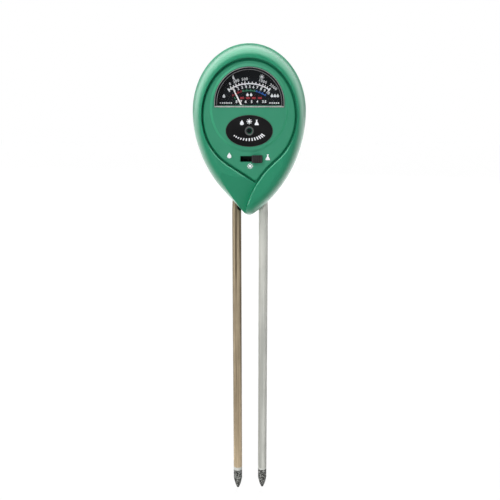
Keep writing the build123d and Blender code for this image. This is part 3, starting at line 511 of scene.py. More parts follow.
@dataclass(frozen=True)
class DrawnMetal(Finish):
    """Metal tube or rod with lines drawn along it and dull stains."""

    name: str
    colour: Colour
    line: Colour
    stain: Colour
    roughness: float = 0.36
    scale: float = 700.0  # lines per metre round the tube
    metallic: float = 0.85
    specular: float = 0.5  # how much the skin of oxide reflects
    rubbed: float = 0.0  # how much the lower end is painted towards the bright colour, a painted light
    bright: Colour = (0.6, 0.6, 0.6)
    rubbed_from: float = 0.10  # height where the painted light on the lower end starts, in metres
    rubbed_to: float = 0.02  # height below which it is fully painted bright
    smear: Quad | None = None  # x, y, z and radius of a dark spot of painted shade, in millimetres
    # colour of that painted shade
    sealant: Colour = (0.004, 0.004, 0.004)

    def shade(self, tree: Tree, shader: Node) -> None:
        """Mixes clean metal, lines and stains, then the painted light on the lower end and the spot of
        painted shade.
        """
        streaks = DrawnStreaks.place(tree, Scale=self.scale)
        tone = tree.blend(streaks["Lines"], self.colour, self.line)
        tone = tree.blend(tree.math("MULTIPLY", streaks["Stains"], 0.5), tone, self.stain)
        # Painted light: the lower end is painted brighter, towards the bright colour, and less so on the
        # lines.
        if self.rubbed:
            painted_low_light = tree.span(tree.axes("Object")["Z"], self.rubbed_from, self.rubbed_to, 0.0, self.rubbed)
            clean = tree.span(streaks["Lines"], 0.0, 1.0, 1.0, 0.75)
            tone = tree.blend(tree.math("MULTIPLY", painted_low_light, clean), tone, self.bright)
        # Painted shade: a dark spot on the tube where it goes into the head.
        if self.smear:
            *middle, radius = (MM * number for number in self.smear)
            away = tree.add("VectorMath", operation="DISTANCE")
            tree.feed(away, tree.add("TexCoord").outputs["Object"], middle)
            near = tree.span(away.outputs["Value"], 0.8 * radius, radius, 1.0, 0.0)
            tone = tree.blend(near, tone, self.sealant)
        rough = tree.span(streaks["Stains"], 0, 1, self.roughness, self.roughness + 0.14)
        tree.feed(shader, Base_Color=tone, Metallic=self.metallic, Specular_IOR_Level=self.specular,
                  Roughness=rough, Normal=self.bump(tree, streaks["Height"], 0.008))


@dataclass(frozen=True)
class MottledMetal(Finish):
    """Dark metal with pale flecks, so many per metre, where its dark skin has rubbed off."""

    name: str
    colour: Colour
    fleck: Colour
    scale: float = 1500.0
    metallic: float = 0.1
    specular: float = 0.1

    def shade(self, tree: Tree, shader: Node) -> None:
        """Mixes dark metal and flecks, with a rough skin."""
        grain = MouldedGrain.place(tree, Scale=self.scale, Patch_Scale=self.scale * 0.6)
        flecks = tree.span(grain["Height"], 0.46, 0.62)
        tree.feed(shader, Base_Color=tree.blend(flecks, self.colour, self.fleck), Metallic=self.metallic,
                  Specular_IOR_Level=self.specular, Roughness=tree.span(grain["Patches"], 0, 1, 0.38, 0.6),
                  Normal=self.bump(tree, grain["Height"], 0.03))


@dataclass(frozen=True)
class ClearPlastic(Finish):
    """Clear moulded plastic with a tint and a refractive index, which lets lamps through."""

    name: str
    colour: Colour
    index: float = 1.46

    def shade(self, tree: Tree, shader: Node) -> None:
        """Sets a clear body with a faintly uneven skin."""
        grain = MouldedGrain.place(tree, Scale=500.0, Patch_Scale=120.0)
        tree.feed(shader, Base_Color=self.colour, Transmission_Weight=1.0, IOR=self.index,
                  Roughness=tree.span(grain["Patches"], 0, 1, 0.02, 0.06))

    def top(self, tree: Tree, shader: Node) -> Socket:
        """Lets shadow rays pass, so that what lies behind is lit."""
        shadow = tree.add("LightPath").outputs["Is Shadow Ray"]
        return tree.mixed(shadow, shader.outputs["BSDF"], tree.add("BsdfTransparent").outputs["BSDF"])


SHELL_GREEN = MouldedPlastic(
    "shell_green_plastic", (0.022, 0.262, 0.139), (0.018, 0.247, 0.13), (0.001, 0.11, 0.053),
    rough=(0.32, 0.38), reach=1.6, open=0.56, specular=0.56)
# The panel's faces that turn sideways get a painted sheen.
PANEL_GREEN = MouldedPlastic(
    "panel_green_plastic", (0.042, 0.266, 0.153), (0.049, 0.274, 0.162), (0.001, 0.148, 0.072),
    rough=(0.4, 0.48), reach=3.0, open=0.86, specular=0.22, rubbed=(0.05, 0.335, 0.185))
LABEL_BLACK = MouldedPlastic(
    "label_black_plastic", (0.0045, 0.0045, 0.005), (0.0065, 0.0065, 0.007), (0.002, 0.002, 0.002),
    rough=(0.45, 0.55), grain=3200, depth=0.008, reach=0.6, specular=0.2)
DIAL_BLACK = MouldedPlastic(
    "dial_black_paint", (0.0075, 0.0095, 0.012), (0.01, 0.012, 0.015), (0.003, 0.003, 0.004),
    rough=(0.55, 0.65), grain=3600, depth=0.006, reach=0.6, specular=0.05)
KNOB_GREY = MouldedPlastic(
    "knob_grey_plastic", (0.031, 0.03, 0.03), (0.042, 0.04, 0.04), (0.001, 0.001, 0.001),
    rough=(0.38, 0.5), grain=3000, depth=0.012, reach=1.0, open=0.9, specular=0.35)
BLACK_PLASTIC = MouldedPlastic(
    "black_inner_plastic", (0.004, 0.005, 0.005), (0.007, 0.008, 0.008), (0.001, 0.001, 0.001),
    reach=1.0, specular=0.15)
FRAME_PLASTIC = MouldedPlastic(
    "meter_frame_plastic", (0.008, 0.008, 0.009), (0.012, 0.012, 0.013), (0.002, 0.002, 0.002),
    reach=1.2, specular=0.2)
BEZEL_GREY = MouldedPlastic(
    "bezel_grey_plastic", (0.022, 0.022, 0.023), (0.03, 0.03, 0.031), (0.004, 0.004, 0.004),
    rough=(0.34, 0.42), grain=3400, depth=0.006, reach=0.5, specular=0.3)
CELL_DARK = MouldedPlastic(
    "cell_dark_glass", (0.006, 0.006, 0.01), (0.01, 0.01, 0.016), (0.002, 0.002, 0.003),
    rough=(0.25, 0.35), grain=900, depth=0.004, reach=0.5, specular=0.2)
NYLON_WHITE = MouldedPlastic(
    "white_nylon", (0.66, 0.67, 0.63), (0.56, 0.57, 0.53), (0.22, 0.22, 0.2),
    rough=(0.45, 0.55), grain=2400, depth=0.012, reach=0.8)
NEEDLE_WHITE = MouldedPlastic(
    "needle_white_paint", (0.97, 0.97, 0.96), (0.91, 0.91, 0.9), (0.6, 0.59, 0.57),
    rough=(0.45, 0.55), grain=3600, depth=0.004, reach=0.2)
BOARD_BROWN = MouldedPlastic(
    "board_brown_laminate", (0.13, 0.07, 0.028), (0.16, 0.09, 0.038), (0.04, 0.02, 0.008),
    rough=(0.5, 0.6), grain=1800, depth=0.01, reach=0.8)
RESISTOR_BODY = MouldedPlastic(
    "resistor_lacquer", (0.33, 0.23, 0.12), (0.37, 0.26, 0.14), (0.12, 0.08, 0.04),
    rough=(0.3, 0.4), grain=1600, depth=0.01, reach=0.6)
LEAD_COVER = MouldedPlastic(
    "lead_red_cover", (0.3, 0.02, 0.016), (0.25, 0.016, 0.013), (0.08, 0.006, 0.005),
    rough=(0.4, 0.5), grain=1800, depth=0.01, reach=0.5)
# On both probes the drawn lines are partly real lines and partly painted bands of reflection and shade along
# the tubes.
PROBE_BRASS = DrawnMetal(
    "probe_dull_brass", (0.425, 0.344, 0.232), (0.125, 0.096, 0.061), (0.215, 0.175, 0.12),
    roughness=0.45, scale=600.0, metallic=0.06, specular=0.08, rubbed=0.85, bright=(0.66, 0.525, 0.35),
    smear=(-4.7, -1.4, 174.0, 2.5))
PROBE_ALUMINIUM = DrawnMetal(
    "probe_dull_aluminium", (0.64, 0.645, 0.596), (0.44, 0.445, 0.411), (0.44, 0.445, 0.411),
    roughness=0.5, scale=420.0, metallic=0.06, specular=0.08)
BRASS_PART = DrawnMetal(
    "turned_brass", (0.56, 0.4, 0.15), (0.43, 0.3, 0.1), (0.3, 0.21, 0.09), scale=1500)
SPRING_BRONZE = DrawnMetal(
    "rolled_spring_bronze", (0.48, 0.29, 0.14), (0.38, 0.22, 0.1), (0.25, 0.15, 0.08), scale=2500)
SCREW_STEEL = DrawnMetal(
    "zinc_screw_steel", (0.5, 0.5, 0.5), (0.38, 0.38, 0.385), (0.25, 0.24, 0.23), scale=1800)
SOFT_IRON = DrawnMetal(
    "nickelled_soft_iron", (0.3, 0.3, 0.305), (0.22, 0.22, 0.225), (0.15, 0.14, 0.13), scale=900)
MAGNET_METAL = DrawnMetal(
    "magnet_alloy", (0.24, 0.24, 0.245), (0.18, 0.18, 0.185), (0.12, 0.12, 0.12), scale=900)
TIN = DrawnMetal(
    "dull_tinned_terminal", (0.06, 0.06, 0.058), (0.04, 0.04, 0.038), (0.02, 0.02, 0.02), scale=2500)
COPPER = DrawnMetal(
    "enamelled_copper", (0.48, 0.18, 0.08), (0.36, 0.12, 0.05), (0.24, 0.09, 0.04), scale=3000)
FORMER_METAL = DrawnMetal(
    "thin_former_aluminium", (0.6, 0.6, 0.6), (0.5, 0.5, 0.5), (0.38, 0.38, 0.38), scale=1800)
TIP_METAL = MottledMetal("tip_dark_metal", (0.022, 0.023, 0.021), (0.43, 0.435, 0.412))
CLEAR_WINDOW = ClearPlastic("clear_window_plastic", (0.97, 0.98, 0.98))
INK_WHITE = PrintedInk("ink_white", (0.93, 0.95, 0.98), (0.82, 0.84, 0.88))
INK_GREY = PrintedInk("ink_grey", (0.88, 0.9, 0.93), (0.74, 0.76, 0.79))
INK_RED = PrintedInk("ink_red", (0.38, 0.018, 0.028), (0.27, 0.014, 0.022))
INK_GREEN = PrintedInk("ink_green", (0.035, 0.27, 0.13), (0.025, 0.18, 0.09))
INK_BLUE = PrintedInk("ink_blue", (0.02, 0.15, 0.6), (0.016, 0.1, 0.42))
# Painted highlights of the window's bevel: two edge lines and the strip along its foot.
PAINTED_SILL_HIGHLIGHT = PrintedInk("painted_sill_highlight", (0.48, 0.5, 0.48), (0.24, 0.26, 0.25))
PAINTED_OUTER_EDGE_HIGHLIGHT = PrintedInk("painted_outer_edge_highlight", (0.36, 0.37, 0.37), (0.26, 0.27, 0.27))
PAINTED_INNER_EDGE_HIGHLIGHT = PrintedInk("painted_inner_edge_highlight", (0.21, 0.21, 0.22), (0.15, 0.15, 0.155))
BORDER_DARK = PrintedInk("dark_window_border", (0.01, 0.011, 0.013), (0.007, 0.008, 0.01), 0.08)
RIM_DARK = PrintedInk("dark_label_edge", (0.06, 0.055, 0.055), (0.04, 0.038, 0.038))
RING_GREY = PrintedInk("grey_sensor_ring", (0.165, 0.165, 0.17), (0.12, 0.12, 0.124))


def shown(name: str, data: bpy.types.ID) -> bpy.types.Object:
    """New object in the scene, at the origin.

    Args:
        name: Name of the object.
        data: Its mesh, lamp or camera.

    Returns:
        The object.
    """
    made = bpy.data.objects.new(name, data)
    bpy.context.scene.collection.objects.link(made)
    LOG.info("made %s", name)
    return made


def make_piece(name: str, surface: Surface, finish: Finish) -> None:
    """Puts a surface into the scene as a piece that rides on the housing.

    Args:
        name: Name of the piece.
        surface: Its mesh in millimetres.
        finish: Its finish.
    """
    mesh = bpy.data.meshes.new(name)
    mesh.from_pydata((surface.points * MM).tolist(), [], surface.faces.tolist())
    mesh.update()
    mesh.materials.append(finish.material())
    piece = shown(name, mesh)
    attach(piece, HOUSING)


class SubAssembly:
    """Base of the sub-assemblies: solids that get a finish, and pieces that are added to them."""

    finishes: ClassVar[tuple[tuple[Any, ...], ...]]  # each finish with the names of the solids that get it

    def dress(self, nodes: dict[str, bpy.types.Object]) -> None:
        """Gives the solids their finishes.

        Args:
            nodes: Solids by name.
        """
        for finish, *names in self.finishes:
            for name in names:
                slots = nodes[name].data.materials
                slots.clear()
                slots.append(finish.material())
                LOG.info("dressed %s in %s", name, finish.name)

    def build(self) -> None:
        """Adds the sub-assembly's own pieces, where it has any."""


@dataclass
class Housing(SubAssembly):
    """Green shells with the face panel and the screws from the rear."""

    finishes = ((SHELL_GREEN, "front_shell", "rear_shell"), (PANEL_GREEN, "face_panel"),
                (SCREW_STEEL, "housing_screws"))
    face: float = -15.4  # depth of the panel's face round the switch
    ink: float = 0.03  # thickness of the print
    signs: tuple[Stamp, ...] = (
        (Mark.DROP, -10.4, 203.3, 0.0, 3.0), (Mark.FLASK, 9.6, 202.3, 0.0, 3.0),
        (Mark.SUN, 0.4, 197.7, 0.0, 3.0))

    def build(self) -> None:
        """Prints the signs round the switch."""
        make_piece("switch_signs", joined(stamped(self.signs, self.face, self.ink)), INK_WHITE)


@dataclass
class MeterWindow(SubAssembly):
    """Clear half-round window with a dark border, and pale edge lines and a pale strip that are painted
    highlights of its bevel.
    """

    finishes = ((CLEAR_WINDOW, "meter_window"),)
    centre: float = 229.8  # height of the arc's centre
    radius: float = 17.95
    bottom: float = 227.65
    front: float = -16.3  # depth of the front face
    floor: float = -15.7  # depth of the face inside the bevel
    flat: float = 0.65  # width of the flat border
    bevel: float = 0.6
    margin: float = 0.05  # how far the added skins stay off the lower edge
    skin: float = 0.015  # thickness of the dark border
    edge: float = 0.03  # thickness of the edge lines and the sill
    line: float = 0.25  # width of the edge lines
    outer_line: float = 0.12  # how far the outer edge line lies inside the window's edge
    lap: float = 0.1  # how far the sill laps past the flat border
    arc_steps: int = 65
    sill_steps: tuple[int, int] = (9, 33)  # corners up and along the sill

    def carried(self, profile: Sequence[Pair], thickness: float) -> Surface:
        """Thin skin along the window's arc and down its two ends.

        A profile of insets and depths is carried along x = r sin a, z = centre + r cos a over a half turn,
        with r the radius less the inset; both ends run straight down to the sill.

        Args:
            profile: How far each point lies inside the window's edge, and its depth.
            thickness: Thickness of the skin.

        Returns:
            The closed skin.
        """
        inset, depth = np.array(profile).T[:, :, None]
        angle = np.radians(np.linspace(-90, 90, self.arc_steps))
        radius = self.radius - inset
        foot = np.full_like(radius, self.bottom + self.margin)
        x = np.concatenate([-radius, radius * np.sin(angle), radius], axis=1)
        z = np.concatenate([foot, self.centre + radius * np.cos(angle), foot], axis=1)
        return slab((x, z), depth, thickness)

    def sill(self) -> Surface:
        """Pale strip along the window's lower border, a painted highlight of the lower bevel.

        A flat strip x = half (2 u - 1), z = bottom + width v on the front face, with u and v from 0 to 1.

        Returns:
            The closed strip.
        """
        rows, columns = self.sill_steps
        half = np.full(rows, self.radius - self.margin)
        height = self.bottom + np.linspace(self.margin, self.flat + self.lap, rows)
        return slab(between(-half, half, height, columns), self.front, self.edge)

    def build(self) -> None:
        """Adds the dark border, and the edge lines and the pale strip that are painted highlights of the
        bevel.
        """
        end = self.flat + self.bevel
        border = self.carried(((0.0, self.front), (self.flat, self.front), (end, self.floor)), self.skin)
        make_piece("window_border", border, BORDER_DARK)
        # The two edge lines are painted highlights of the bevel.
        for name, start, depth, ink in (("window_outer_edge", self.outer_line, self.front, PAINTED_OUTER_EDGE_HIGHLIGHT),
                                        ("window_inner_edge", end, self.floor, PAINTED_INNER_EDGE_HIGHLIGHT)):
            line = self.carried(((start, depth), (start + self.line, depth)), self.edge)
            make_piece(name, line, ink)
        make_piece("window_sill", self.sill(), PAINTED_SILL_HIGHLIGHT)


@dataclass
class Dial(SubAssembly):
    """Black dial plate with three printed scales. Angles are clockwise from upright."""

    finishes = ((DIAL_BLACK, "dial_plate"),)
    centre: float = 220.8
    front: float = -10.6
    ink: float = 0.04  # thickness of the print
    digit: float = 1.3
    arc: float = 18.7  # radius of the main line
    line: Pair = (-0.3, 0.32)  # how far the main line reaches inwards and outwards
    first: float = -34.3
    last: float = 33.4
    end_tick: Triple = (-0.9, 1.0, 0.7)  # reach inwards, reach outwards and width of the ticks at its ends
    long_tick: Triple = (-0.8, 1.2, 0.55)  # the same for the long ticks
    short_tick: Triple = (0.0, 1.05, 0.5)  # the same for the short ticks
    long_ticks: tuple[float, ...] = (-29.5, -20.7, -6.6, 21.2)
    short_ticks: tuple[float, ...] = (-25.0, -16.0, -11.3, -1.0, 4.6, 10.2, 15.8, 24.9, 28.8)
    number_arc: float = 17.2
    # angles of the moisture numbers 1 to 10
    numbers: tuple[float, ...] = (-25.8, -19.4, -12.4, -5.6, 0.9, 7.3, 13.9, 20.6, 27.3, 34.6)
    light_arc: float = 21.1
    light_spacing: float = 1.2
    # numbers of the light scale with their angles
    light: tuple[tuple[str, float], ...] = (
        ("0", -28.0), ("200", -18.6), ("500", -6.4), ("1000", 19.6), ("2000", 35.9))
    acid_height: float = 230.5
    # numbers of the lower scale with their x
    acid: tuple[tuple[str, float], ...] = (
        ("8", -6.6), ("7", -4.2), ("6", -1.85), ("5", 1.2), ("4", 4.15), ("3.5", 7.7))
    signs: tuple[Stamp, ...] = (
        (Mark.MOON, -7.5, 242.7, -20.0, 2.5), (Mark.SUN, 6.5, 242.9, 17.0, 2.4),
        (Mark.DROP, -13.1, 233.4, 0.0, 2.0), (Mark.DROP, -0.95, 234.1, 0.0, 1.8),
        (Mark.DROP, 0.95, 234.1, 0.0, 1.8), (Mark.DROP, 11.7, 233.6, 0.0, 1.9),
        (Mark.DROP, 13.2, 233.6, 0.0, 1.9), (Mark.DROP, 14.7, 233.6, 0.0, 1.9))
    dot: float = 0.75
    dot_height: float = 229.8
    # first x, last x and number of dots of each row
    dots: tuple[tuple[float, float, int], ...] = ((-14.9, -9.3, 6), (10.7, 15.1, 5))
    foot_line: Quad = (8.5, 0.1, 0.5, 228.54)  # half width, half height, x and z of the thin line at the foot
    band: Pair = (15.0, 15.4)  # inner and outer radius of the coloured arc
    band_tick: Triple = (14.9, 15.95, 0.5)  # inner radius, outer radius and width of its ticks
    band_ticks: int = 4  # number of ticks in each part
    band_inset: float = 2.0  # angle from the end of a part to its first tick
    # colour, start and end of each part of the coloured arc
    bands: tuple[tuple[PrintedInk, float, float], ...] = (
        (INK_RED, -35.2, -13.9), (INK_GREEN, -13.9, 12.2), (INK_BLUE, 12.2, 34.2))
    dash: Triple = (1.0, 0.48, 232.3)  # half width, half height and z of the red dashes
    dashes: tuple[float, ...] = (-3.7, -0.65, 2.35, 5.45)
    # half width, half height, x, z and turn of the mark before the dashes
    green_start: tuple[float, float, float, float, float] = (0.2, 0.6, -7.4, 232.2, -35.0)

    def printed(self, grid: Grid) -> Surface:
        """Area printed on the plate."""
        return slab(grid, self.front, self.ink)

    def block(self, half: float, high: float, x: float, z: float, angle: float = 0.0) -> Surface:
        """Printed rectangle with its half sizes, the place of its middle and a clockwise turn."""
        return self.printed(placed(bar(half, -high, high, 5), x, z, angle))

    def spoke(self, angle: float, inner: float, outer: float, width: float) -> Surface:
        """Printed bar between two radii, turned clockwise about the centre."""
        return self.printed(placed(bar(width / 2, inner, outer), 0, self.centre, angle))

    def numeral(self, text: str, x: float, z: float, angle: float = 0.0, spacing: float = 1.0) -> Surface:
        """Plain number as a thin plate that faces the front.

        The glyphs' outline is filled and given its thickness, then turned clockwise and moved as one array.

        Args:
            text: Digits, with a point if there is one.
            x: x of the middle.
            z: z of the middle.
            angle: Turn in degrees, clockwise.
            spacing: Share of the font's own spacing.

        Returns:
            The closed digits.
        """
        outline = bpy.data.curves.new("numeral", "FONT")
        outline.body, outline.align_x, outline.align_y = text, "CENTER", "CENTER"
        outline.size, outline.offset = self.digit / DIGIT_SHARE, DIGIT_WEIGHT * self.digit
        outline.extrude, outline.resolution_u, outline.space_character = self.ink / 2, 3, spacing
        holder = bpy.data.objects.new("numeral", outline)
        mesh = bpy.data.meshes.new_from_object(holder)
        mesh.calc_loop_triangles()
        flat = np.zeros((len(mesh.vertices), 3))
        corners = np.zeros((len(mesh.loop_triangles), 3), dtype=np.int32)
        mesh.vertices.foreach_get("co", flat.ravel())
        mesh.loop_triangles.foreach_get("vertices", corners.ravel())
        middle = (flat[:, :2].min(0) + flat[:, :2].max(0)) / 2
        across, up = placed((flat[:, 0] - middle[0], flat[:, 1] - middle[1]), x, z, angle)
        bpy.data.objects.remove(holder)
        bpy.data.curves.remove(outline)
        bpy.data.meshes.remove(mesh)
        digits = np.stack([across, self.front - self.ink / 2 - flat[:, 2], up], -1)
        return Surface(digits, corners.astype(np.int64)).outward()

    def figure(self, text: str, radius: float, angle: float, spacing: float = 1.0) -> Surface:
        """Number on a circle round the centre: x = r sin a and z = centre + r cos a."""
        turn = math.radians(angle)
        return self.numeral(text, radius * math.sin(turn), self.centre + radius * math.cos(turn), angle,
                            spacing)

    def main_scale(self) -> list[Surface]:
        """White line with its ticks: a band along the arc, and straight spokes of three lengths across it.

        Returns:
            The printed line and ticks.
        """
        inner, outer = (self.arc + reach for reach in self.line)
        marks = [self.printed(arc_band(self.centre, inner, outer, self.first, self.last))]
        for (near, far, width), angles in ((self.end_tick, (self.first, self.last)),
                                           (self.long_tick, self.long_ticks),
                                           (self.short_tick, self.short_ticks)):
            marks += [self.spoke(angle, self.arc + near, self.arc + far, width) for angle in angles]
        return marks

    def grey_marks(self) -> list[Surface]:
        """Light numbers, signs, rows of dots and the thin line at the foot of the dial.

        Returns:
            The printed marks.
        """
        marks = [self.figure(text, self.light_arc, angle, self.light_spacing) for text, angle in self.light]
        dots = [(Mark.DOT, x, self.dot_height, 0.0, self.dot) for row in self.dots for x in np.linspace(*row)]
        return [*marks, *stamped([*self.signs, *dots], self.front, self.ink), self.block(*self.foot_line)]

    def build(self) -> None:
        """Prints scales, numbers, coloured arcs and signs."""
        white = self.main_scale()
        white += [self.figure(str(number), self.number_arc, angle)
                  for number, angle in enumerate(self.numbers, start=1)]
        white += [self.numeral(text, x, self.acid_height) for text, x in self.acid]
        make_piece("dial_scales", joined(white), INK_WHITE)
        make_piece("dial_signs", joined(self.grey_marks()), INK_GREY)
        for ink, start, end in self.bands:
            band = self.printed(arc_band(self.centre, *self.band, start, end))
            angles = np.linspace(start + self.band_inset, end - self.band_inset, self.band_ticks)
            spokes = [self.spoke(angle, *self.band_tick) for angle in angles]
            make_piece(f"moisture_band_{ink.name}", joined([band, *spokes]), ink)
        half, high, z = self.dash
        dashes = joined([self.block(half, high, x, z) for x in self.dashes])
        make_piece("lower_dashes", dashes, INK_RED)
        make_piece("lower_scale_start", self.block(*self.green_start), INK_GREEN)


@dataclass
class LightSensor(SubAssembly):
    """Oval plate with the light sensor, its ring and plain marks."""

    finishes = ((LABEL_BLACK, "label_plate"), (BEZEL_GREY, "sensor_bezel"), (CLEAR_WINDOW, "sensor_window"),
                (CELL_DARK, "light_cell"))
    height: float = 215.8
    front: float = -16.2
    half: Pair = (12.15, 8.05)  # half width and half height of the plate
    rim: float = 0.2  # width of the line round the plate
    ink: float = 0.03  # thickness of the print and of that line
    bezel_front: float = -16.4
    # outer radius, width and thickness of the line on the sensor's ring
    bezel_line: Triple = (2.12, 0.42, 0.02)
    signs: tuple[Stamp, ...] = (
        (Mark.DROP, -3.8, 220.1, 0.0, 2.7), (Mark.SUN, 0.0, 220.6, 0.0, 2.7),
        (Mark.FLASK, 3.8, 220.1, 0.0, 2.7))
    bars: int = 13  # number of bars in the row under the sensor
    bar_half: float = 0.28
    bar_lengths: Pair = (0.7, 2.1)  # length of the first and the last bar
    row: Pair = (9.2, 5.1)  # half width and half height of the curve that carries the bars
    row_ends: Pair = (-150, -30)  # angles of the first and the last bar

    def build(self) -> None:
        """Adds the rim line, the ring's line, the signs and the row of bars.

        Bar i stands on the ellipse (A cos t, B sin t) at even steps of t and grows from end to end, and leans
        as the radius at t does on a circle.
        """
        rim = ellipse_ring(self.half, self.rim, self.height, self.front, self.ink)
        make_piece("label_rim", rim, RIM_DARK)
        radius, width, thickness = self.bezel_line
        line = ellipse_ring((radius, radius), width, self.height, self.bezel_front, thickness)
        make_piece("sensor_ring_line", line, RING_GREY)
        marks = stamped(self.signs, self.front, self.ink)
        turns = np.radians(np.linspace(*self.row_ends, self.bars))
        for turn, length in zip(turns, np.linspace(*self.bar_lengths, self.bars)):
            x, z = self.row[0] * math.cos(turn), self.height + self.row[1] * math.sin(turn)
            lean = math.degrees(math.atan2(x, -self.row[0] * math.sin(turn)))
            marks.append(slab(placed(bar(self.bar_half, 0.0, length), x, z, -lean), self.front, self.ink))
        make_piece("label_marks", joined(marks), INK_WHITE)


@dataclass
class SlideSwitch(SubAssembly):
    """Three-position slide switch behind the panel."""

    finishes = ((KNOB_GREY, "switch_knob"), (BLACK_PLASTIC, "switch_case", "switch_base", "switch_slider"),
                (SPRING_BRONZE, "switch_contact"), (TIN, "switch_terminals"), (SCREW_STEEL, "switch_screws"))


@dataclass
class Movement(SubAssembly):
    """Moving-coil meter with its needle."""

    finishes = ((NEEDLE_WHITE, "needle"), (FRAME_PLASTIC, "meter_frame"), (SOFT_IRON, "yoke_ring"),
                (MAGNET_METAL, "core_magnet"),
                (BRASS_PART, "front_bridge", "front_jewel_screw", "rear_jewel_screw", "balance_weights"),
                (SPRING_BRONZE, "front_hairspring", "rear_hairspring"),
                (SCREW_STEEL, "bridge_screws", "pivot_staffs"), (COPPER, "moving_coil"),
                (FORMER_METAL, "coil_former"))


@dataclass
class Electronics(SubAssembly):
    """Board, resistors and leads inside the head."""

    finishes = ((BOARD_BROWN, "circuit_board"), (RESISTOR_BODY, "calibration_resistors"),
                (LEAD_COVER, "probe_leads", "meter_leads", "cell_leads"))


@dataclass
class Probes(SubAssembly):
    """Two metal probes with white rings and dark tips."""

    finishes = ((PROBE_BRASS, "brass_tube"), (PROBE_ALUMINIUM, "aluminium_tube"),
                (NYLON_WHITE, "left_insulator", "right_insulator"), (TIP_METAL, "left_tip", "right_tip"),
                (BLACK_PLASTIC, "probe_collars"))


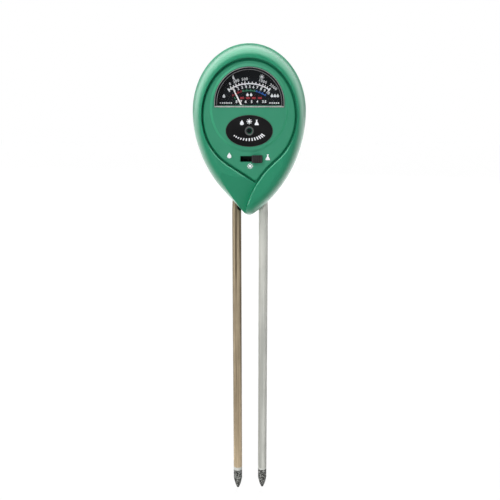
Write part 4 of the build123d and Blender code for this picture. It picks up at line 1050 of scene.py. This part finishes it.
@dataclass
class Studio:
    """Pale floor, white surroundings and soft lamps.

    A ramp is the low and the high end of a coordinate and the strength at each.
    """

    floor_half: float = 3.0
    floor_steps: int = 9
    floor_grey: float = 0.5
    floor_rough: float = 0.9
    floor_glow: float = 1.22  # strength of the floor straight from the camera
    floor_shadow: float = 0.25  # share of the lit floor in what the camera sees, which keeps the shadow
    # ramp along Y of the floor in mirrored rays: dark in front, bright behind
    floor_behind: Quad = (-0.12, 0.1, 0.1, 2.5)
    sky: float = 0.18  # strength of the surroundings as light
    # ramp along Y + Z of the surroundings in mirrored rays: dark in front
    front: Quad = (-0.28, 0.15, 0.08, 5.5)
    rear_level: Quad = (0.35, 0.88, 1.0, 0.07)  # ramp along Y of the share that level rays find behind
    rear_steep: Quad = (0.5, 0.78, 1.0, 0.0)  # the same for rising rays
    rise: Quad = (0.05, 0.3, 0.0, 1.0)  # ramp along Z from level to rising rays
    low: Quad = (-0.6, 0.1, 0.5, 1.0)  # ramp along Z of the share below
    high: Quad = (0.0, 0.8, 1.0, 1.25)  # ramp along Z of the share overhead
    right: Quad = (0.1, 0.8, 1.0, 0.75)  # ramp along X of the share on the right
    aim: Triple = (0.0, 0.0, 0.12)
    # place, size and power of each lamp, in metres and watts: key, frontal, right and rear
    lamps: tuple[tuple[Triple, float, float], ...] = (
        ((-0.52, -0.85, 1.25), 0.7, 7.5), ((-0.38, -1.25, 0.16), 0.5, 10.4),
        ((0.9, -0.7, 0.75), 0.6, 0.4), ((0.25, 1.3, 0.75), 0.8, 13.0))

    def build(self) -> None:
        """Makes floor, world and lamps."""
        self.make_floor()
        self.make_world()
        for number, (place, size, power) in enumerate(self.lamps):
            lamp = bpy.data.lights.new(f"soft_lamp_{number}", "AREA")
            lamp.size, lamp.energy = size, power
            holder = shown(lamp.name, lamp)
            holder.location = place
            holder.visible_camera = holder.visible_glossy = holder.visible_transmission = False
            sight = Vector(self.aim) - Vector(place)
            holder.rotation_euler = sight.to_track_quat("-Z", "Y").to_euler()

    @staticmethod
    def chosen(tree: Tree, seen: float, lit: float, mirrored: Socket) -> Socket:
        """Strength that depends on the kind of ray.

        Args:
            tree: Tree of the material or the world.
            seen: Strength straight from the camera.
            lit: Strength for the rays that light the tester.
            mirrored: Strength for mirrored rays and rays out of the clear window.

        Returns:
            The strength.
        """
        path = tree.add("LightPath").outputs
        straight = tree.math("MULTIPLY", path["Is Camera Ray"], seen - lit)
        clear = tree.math("MAXIMUM", path["Is Glossy Ray"], path["Is Transmission Ray"])
        shine = tree.math("MULTIPLY", clear, tree.math("SUBTRACT", mirrored, lit))
        return tree.math("ADD", tree.math("ADD", straight, lit), shine)

    def make_floor(self) -> None:
        """Adds the floor: x and y over a square at height 0, white to the camera, with a faint shadow.

        Mirrored rays find it bright behind the tester, and from below it is clear.
        """
        side = np.linspace(-1, 1, self.floor_steps)
        across, along = np.meshgrid(side, side, indexing="ij")
        points = np.stack([across, along, np.zeros_like(across)], -1).reshape(-1, 3) * self.floor_half
        mesh = bpy.data.meshes.new("floor")
        faces = grid_faces(np.arange(across.size).reshape(across.shape))
        mesh.from_pydata(points.tolist(), [], faces.tolist())
        made = bpy.data.materials.new("pale_floor")
        made.use_nodes = True
        tree = Tree(made.node_tree)
        matt = tree.add("BsdfPrincipled")
        tree.feed(matt, Base_Color=(self.floor_grey,) * 3, Roughness=self.floor_rough)
        lit = matt.outputs["BSDF"]
        behind = tree.span(tree.axes("Object")["Y"], *self.floor_behind)
        glow = tree.feed(tree.add("Emission"), Strength=self.chosen(tree, self.floor_glow, 0.0, behind))
        seen = tree.mixed(self.floor_shadow, glow.outputs["Emission"], lit)
        path = tree.add("LightPath").outputs
        straight = tree.math("MAXIMUM", path["Is Camera Ray"], path["Is Transmission Ray"])
        above = tree.mixed(tree.math("MAXIMUM", straight, path["Is Glossy Ray"]), lit, seen)
        below = tree.add("NewGeometry").outputs["Backfacing"]
        whole = tree.mixed(below, above, tree.add("BsdfTransparent").outputs["BSDF"])
        tree.feed(tree.add("OutputMaterial"), Surface=whole)
        mesh.materials.append(made)
        floor = shown("floor", mesh)

    def make_world(self) -> None:
        """Makes white surroundings, which mirrored rays find dark in front and bright at the sides.

        Behind they darken again, sooner for rising rays, which draws the fine dark line along the head's top.
        """
        world = bpy.data.worlds.new("studio")
        world.use_nodes = True
        tree = Tree(world.node_tree)
        turn = tree.axes("Generated")
        front = tree.span(tree.math("ADD", turn["Y"], turn["Z"]), *self.front)
        level, steep = tree.span(turn["Y"], *self.rear_level), tree.span(turn["Y"], *self.rear_steep)
        change = tree.math("MULTIPLY", tree.span(turn["Z"], *self.rise), tree.math("SUBTRACT", steep, level))
        mirrored = tree.math("MULTIPLY", front, tree.math("ADD", level, change))
        for share in (tree.span(turn["Z"], *self.low), tree.span(turn["Z"], *self.high),
                      tree.span(turn["X"], *self.right)):
            mirrored = tree.math("MULTIPLY", mirrored, share)
        around = tree.feed(tree.add("Background"), Color=(1, 1, 1),
                           Strength=self.chosen(tree, 1.0, self.sky, mirrored))
        tree.feed(tree.add("OutputWorld"), Surface=around.outputs["Background"])
        bpy.context.scene.world = world
        LOG.info("made world")


@dataclass
class PhotoCamera:
    """Camera at the photograph's viewing angle."""

    place: Triple = (0.00037, -0.36096, 0.23366)
    pitch: float = 13.18  # how far it looks down, in degrees
    focal: float = 660.6  # focal length in pixels of the image
    image: int = 500  # width of the image in pixels
    sensor: float = 36.0
    near: float = 0.01  # nearest distance that is drawn, in metres

    def build(self) -> None:
        """Makes the camera and gives it to the scene."""
        lens = bpy.data.cameras.new("photo_camera")
        lens.sensor_width, lens.clip_start = self.sensor, self.near
        lens.lens = self.sensor * self.focal / self.image
        camera = shown("photo_camera", lens)
        camera.location = self.place
        camera.rotation_euler = (math.radians(90 - self.pitch), 0, 0)
        bpy.context.scene.camera = camera


def main() -> None:
    """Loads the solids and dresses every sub-assembly."""
    logging.basicConfig(level=logging.INFO, format="%(name)s: %(message)s")
    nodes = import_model()["nodes"]
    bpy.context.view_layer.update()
    for kind in (Housing, MeterWindow, Dial, LightSensor, SlideSwitch, Movement, Electronics, Probes):
        part = kind()
        part.dress(nodes)
        part.build()
    Studio().build()
    PhotoCamera().build()
    bpy.context.scene.view_settings.view_transform = "Standard"


if __name__ == "__main__":
    main()
